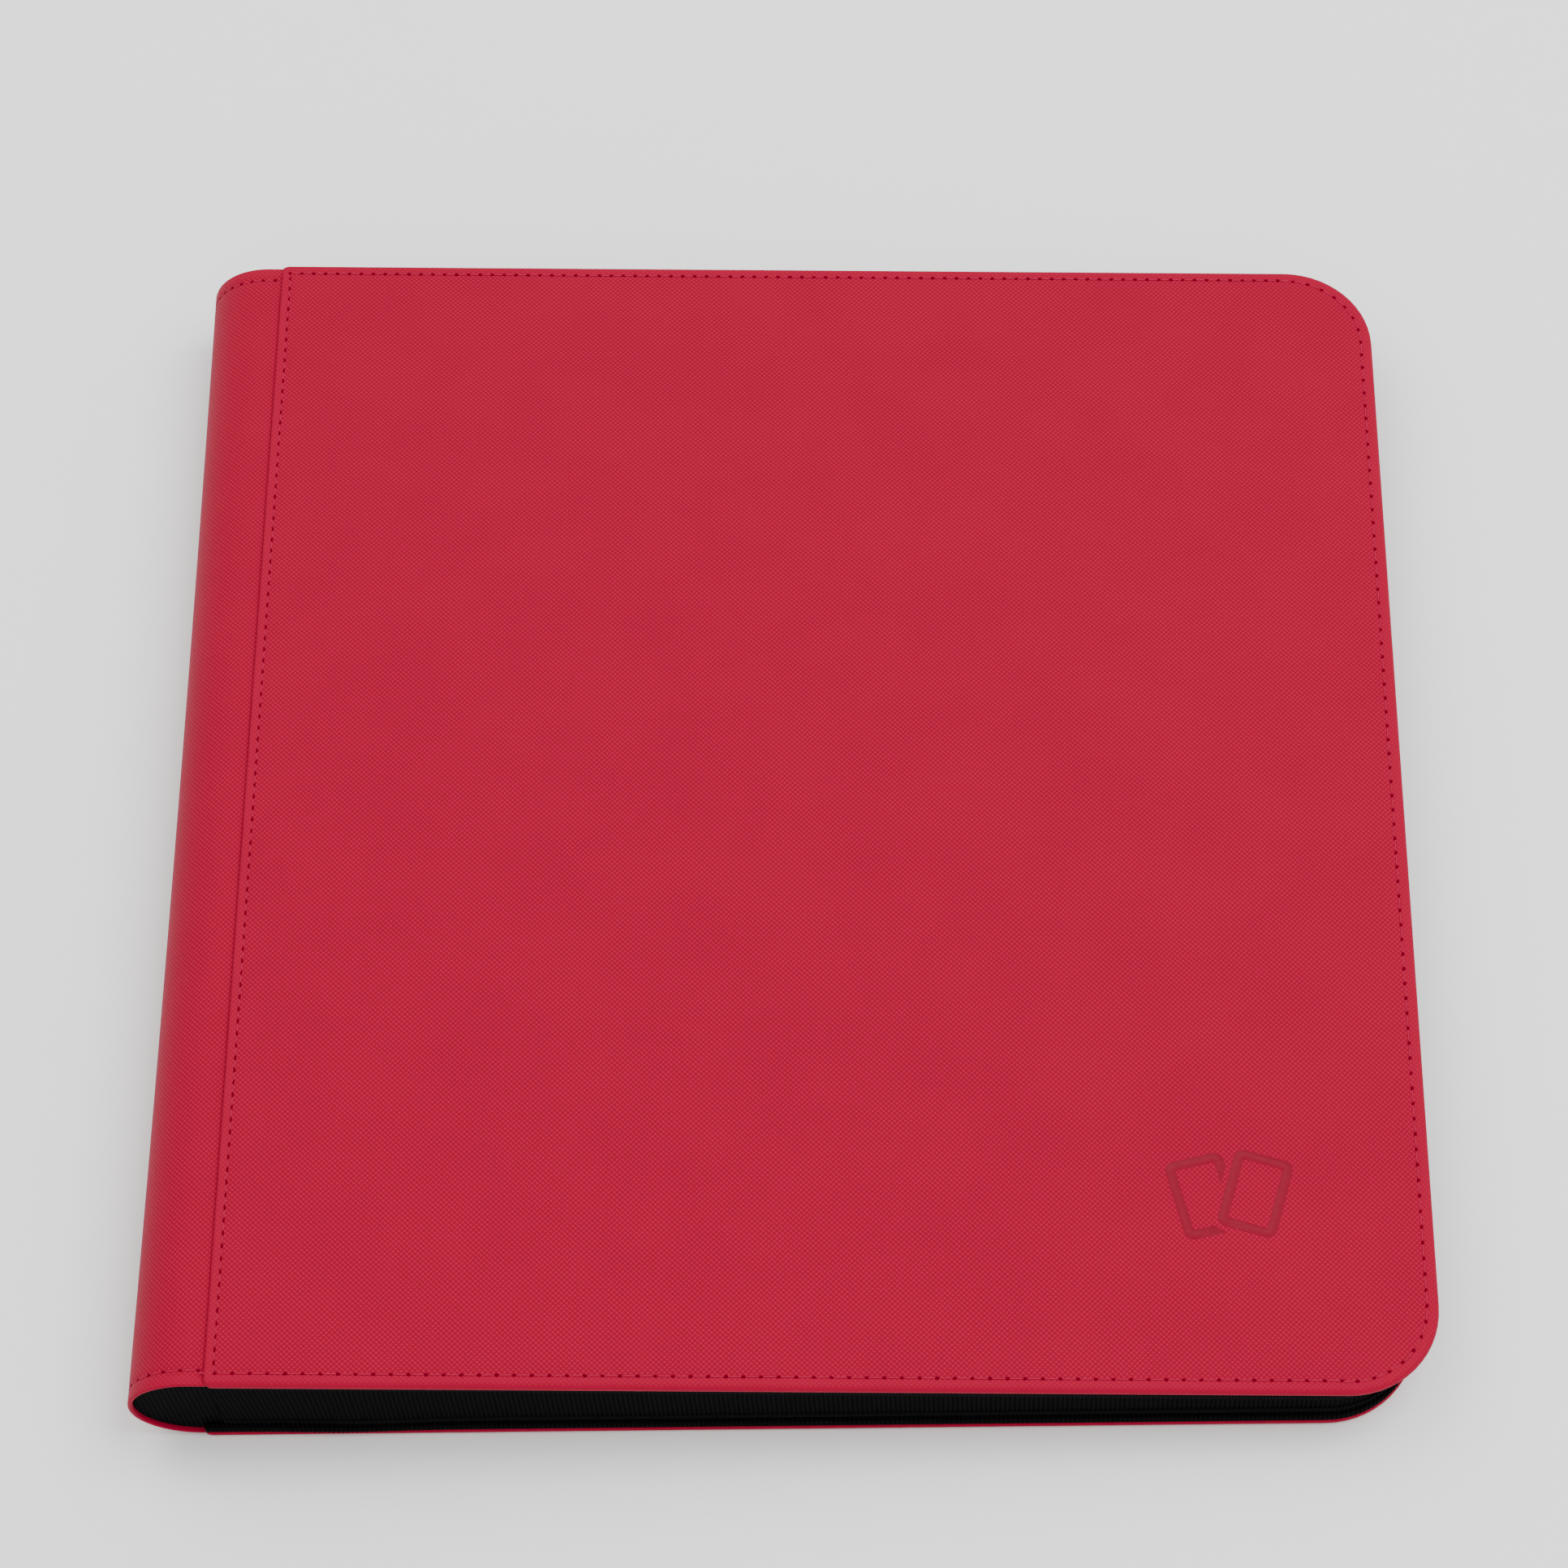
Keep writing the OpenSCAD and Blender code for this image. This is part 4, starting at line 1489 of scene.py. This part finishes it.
U_LINES = [-0.3, FREE * 0.5, FREE, FREE + 1] + page_lines(
    FREE + BINDING_MARGIN + WELD, POCKETS_ACROSS, POCKET_W, [FREE + PAGE_W]
)
V_LINES = [0.0] + page_lines(WELD, POCKETS_UP, POCKET_H, [PAGE_H])


def in_pocket(way, first, size):
    """How far across a pocket this line is, from 0 to 1, or None on a weld."""
    across = (way - first) % (size + WELD)
    return across / size if way > first - 0.01 and across <= size + 0.01 else None


def page_height(u, v):
    """Half the page's thickness at a point: film strip, backing or crowned pocket."""
    if u < FREE:
        return FREE_HALF
    s = in_pocket(u, FREE + BINDING_MARGIN + WELD, POCKET_W)
    t = in_pocket(v, WELD, POCKET_H)
    if s is None or t is None or min(s, t, 1 - s, 1 - t) < 0.002:
        return WELD_HALF
    return POCKET_HALF + CROWN * math.sin(math.pi * s) * math.sin(math.pi * t)


def rounded_corner(u, v):
    """Pulls a point outside the two rounded fore-edge corners onto the arc."""
    r = PAGE_R
    du = u - (FREE + PAGE_W - r)
    dv = v - r if v < PAGE_H / 2 else v - (PAGE_H - r)
    if du > 0 and abs(v - PAGE_H / 2) > PAGE_H / 2 - r and math.hypot(du, dv) > r:
        scale = r / math.hypot(du, dv)
        return u - du * (1 - scale), v - dv * (1 - scale)
    return u, v


print(f"page {PAGE_W:.0f} by {PAGE_H:.0f} mm, on a grid of {len(U_LINES)} by {len(V_LINES)} lines")

# %% [markdown]
# The page is one closed shell on those lines: an upper grid, a lower grid and
# the rim between them. Film covers the faces that lie within a pocket.

# %% The page's shell


def page_shape():
    """The whole page flat, u from its root, as one closed shell, and which faces are film."""
    across, along = len(U_LINES), len(V_LINES)
    points, faces, film = [], [], []
    for side in (1, -1):
        for v in V_LINES:
            for u in U_LINES:
                points.append((*rounded_corner(u, v), side * page_height(u, v)))
    half = across * along
    for side in (0, 1):
        for j in range(along - 1):
            for i in range(across - 1):
                a = side * half + j * across + i
                faces.append((a, a + 1, a + across + 1, a + across))
                middle_u = (U_LINES[i] + U_LINES[i + 1]) / 2
                middle_v = (V_LINES[j] + V_LINES[j + 1]) / 2
                film.append(1 if page_height(middle_u, middle_v) > WELD_HALF else 0)
    rim = list(range(across)) + [j * across + across - 1 for j in range(1, along)]
    rim += [(along - 1) * across + i for i in range(across - 2, -1, -1)]
    rim += [j * across for j in range(along - 2, 0, -1)]
    for a, b in zip(rim, rim[1:] + rim[:1]):
        faces.append((a, b, half + b, half + a))
        film.append(0)
    return np.array(points), faces, film


flat_page, page_faces, page_film = page_shape()
for k in range(1, PAGE_COUNT + 1):
    root_x, root_z, tilt = page_place(k)
    c, s = math.cos(tilt), math.sin(tilt)
    u, v, w = flat_page.T
    placed = np.stack([root_x + u * c - w * s, v - PAGE_H / 2, root_z + u * s + w * c], 1)
    sheet = mesh_from(f"pocket_page_{k:02d}", placed, page_faces, None, (), page_film)
    page = new_object(f"pocket_page_{k:02d}", sheet, page_sheet, pocket_film)
    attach(page, f"page_{k:02d}")
    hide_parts(f"page_{k:02d}")
print(PAGE_COUNT, "pages of", len(page_faces), "faces")

# %% [markdown]
# ## Slider and pull
#
# The slider and its pull take their shape from the CAD solids, with every edge
# rounded over as cast and painted metal is. The copies are cleaned of the
# triangles across flat faces first, so that the bevel runs only along edges.
# The slider then narrows towards its tail, and the tab gets a few grip ridges.

# %% Slider and pull
SLIDER_TAPER = 0.22


def rounded_copy(node, name, width, material):
    mesh = frame["nodes"][node].data.copy()
    mesh.materials.clear()
    copy = new_object(name, mesh, material)
    built = bmesh.new()
    built.from_mesh(mesh)
    bmesh.ops.remove_doubles(built, verts=built.verts, dist=1e-6)
    bmesh.ops.dissolve_limit(built, angle_limit=0.02, verts=built.verts, edges=built.edges)
    built.to_mesh(mesh)
    built.free()
    bevel = copy.modifiers.new("rounding", "BEVEL")
    bevel.width = width * MM
    bevel.segments = 3
    bevel.limit_method = "ANGLE"
    bevel.angle_limit = math.radians(40)
    made = made_mesh(copy, name)
    copy.modifiers.clear()
    copy.data = made
    made.set_sharp_from_angle(angle=math.radians(35))
    return copy


slider_body = rounded_copy("zip_slider", "slider_body", 0.28, black_metal)
pull_tab = rounded_copy("zip_pull", "pull_tab", 0.22, black_metal)
slider_low, slider_high = (np.array(c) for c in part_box("zip_slider"))
slider_middle = (slider_low + slider_high) / 2
chain_height = joints["pull_swing"]["pos_m"][2]
for vertex in slider_body.data.vertices:
    past = float(smooth((vertex.co.x - slider_middle[0]) / (slider_high[0] - slider_middle[0])))
    vertex.co.z = chain_height + (vertex.co.z - chain_height) * (1 - SLIDER_TAPER * past)
slider_body.data.update()

pull_low, pull_high = (np.array(c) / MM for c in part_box("zip_pull"))
pull_face = pull_high[1] - 0.12
grip = [(pull_low[0] + 3 + 0.5 * k, pull_face, chain_height / MM) for k in range(21)]
grip_unit = bar_unit("grip_unit", 4.6, 0.6, 0.5, along="y")
ridges = row_of("pull_ridges", grip, [(0, 1, 0)] * len(grip), grip_unit, 1.4, 0.0, black_metal)
pull_tab = joined("pull_tab_with_ridges", [pull_tab, ridges])
for metal, body, node in ((slider_body, "slider", "zip_slider"), (pull_tab, "pull", "zip_pull")):
    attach(metal, body)
    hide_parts(node)
    print(metal.name, len(metal.data.polygons), "faces")

# %% [markdown]
# ## Finishes on the CAD parts that stay
#
# The boards, the fleece, the stops and the binding bar keep their CAD meshes.
# They only need a finish each.

# %% CAD finishes
for node, material in (
    ("back_board", grey_board),
    ("front_board", grey_board),
    ("back_interlining", grey_fleece),
    ("front_interlining", grey_fleece),
    ("lower_end_stops", black_metal),
    ("upper_end_stops", black_metal),
    ("page_binding", page_sheet),
):
    shown = frame["nodes"][node].data
    shown.materials.clear()
    shown.materials.append(material)
print("finished CAD parts")

# %% [markdown]
# ## Floor and light
#
# A pale floor and two soft lamps. The key stands high on the right, so the step
# beside the spine falls in a little shadow. The fill stands behind on the left.
# The world is bright overhead and dim at the horizon, so that the low edges
# stay darker than the faces.

# %% Stage


def floor_finish():
    finish = Finish("floor", roughness=0.8, specular=0.1)
    grain = finish.noise(finish.coordinates("object"), 60.0)
    finish.colour(finish.colour_mix(grain, (0.93, 0.93, 0.93, 1), (0.95, 0.95, 0.95, 1)))
    return finish.material


FLOOR = 30
floor_mesh = bpy.data.meshes.new("floor")
floor_corners = [(-FLOOR, -FLOOR, 0), (FLOOR, -FLOOR, 0), (FLOOR, FLOOR, 0), (-FLOOR, FLOOR, 0)]
floor_mesh.from_pydata(floor_corners, [], [(0, 1, 2, 3)])
floor = new_object("floor", floor_mesh, floor_finish())


def lamp(name, power, size, place, aim=(0, 0, 0)):
    data = bpy.data.lights.new(name, "AREA")
    data.energy = power
    data.size = size
    thing = bpy.data.objects.new(name, data)
    thing.location = place
    thing.rotation_euler = (Vector(aim) - Vector(place)).to_track_quat("-Z", "Y").to_euler()
    bpy.context.scene.collection.objects.link(thing)


lamp("key", 36, 1.2, (0.9, 0.1, 1.9))
lamp("fill", 22, 1.6, (-0.9, 0.9, 1.9))
world = bpy.data.worlds.new("studio")
bpy.context.scene.world = world
world.use_nodes = True
sky = world.node_tree
place = sky.nodes.new("ShaderNodeTexCoord")
split = sky.nodes.new("ShaderNodeSeparateXYZ")
rise = sky.nodes.new("ShaderNodeMapRange")
for socket, number in {"From Min": -0.1, "From Max": 0.7, "To Min": 0.3, "To Max": 1.15}.items():
    rise.inputs[socket].default_value = number
sky.links.new(place.outputs["Generated"], split.inputs[0])
sky.links.new(split.outputs["Z"], rise.inputs["Value"])
sky.links.new(rise.outputs["Result"], sky.nodes["Background"].inputs["Strength"])
sky.nodes["Background"].inputs["Color"].default_value = (1, 1, 1, 1)
print("floor", floor.name, "and two lamps")
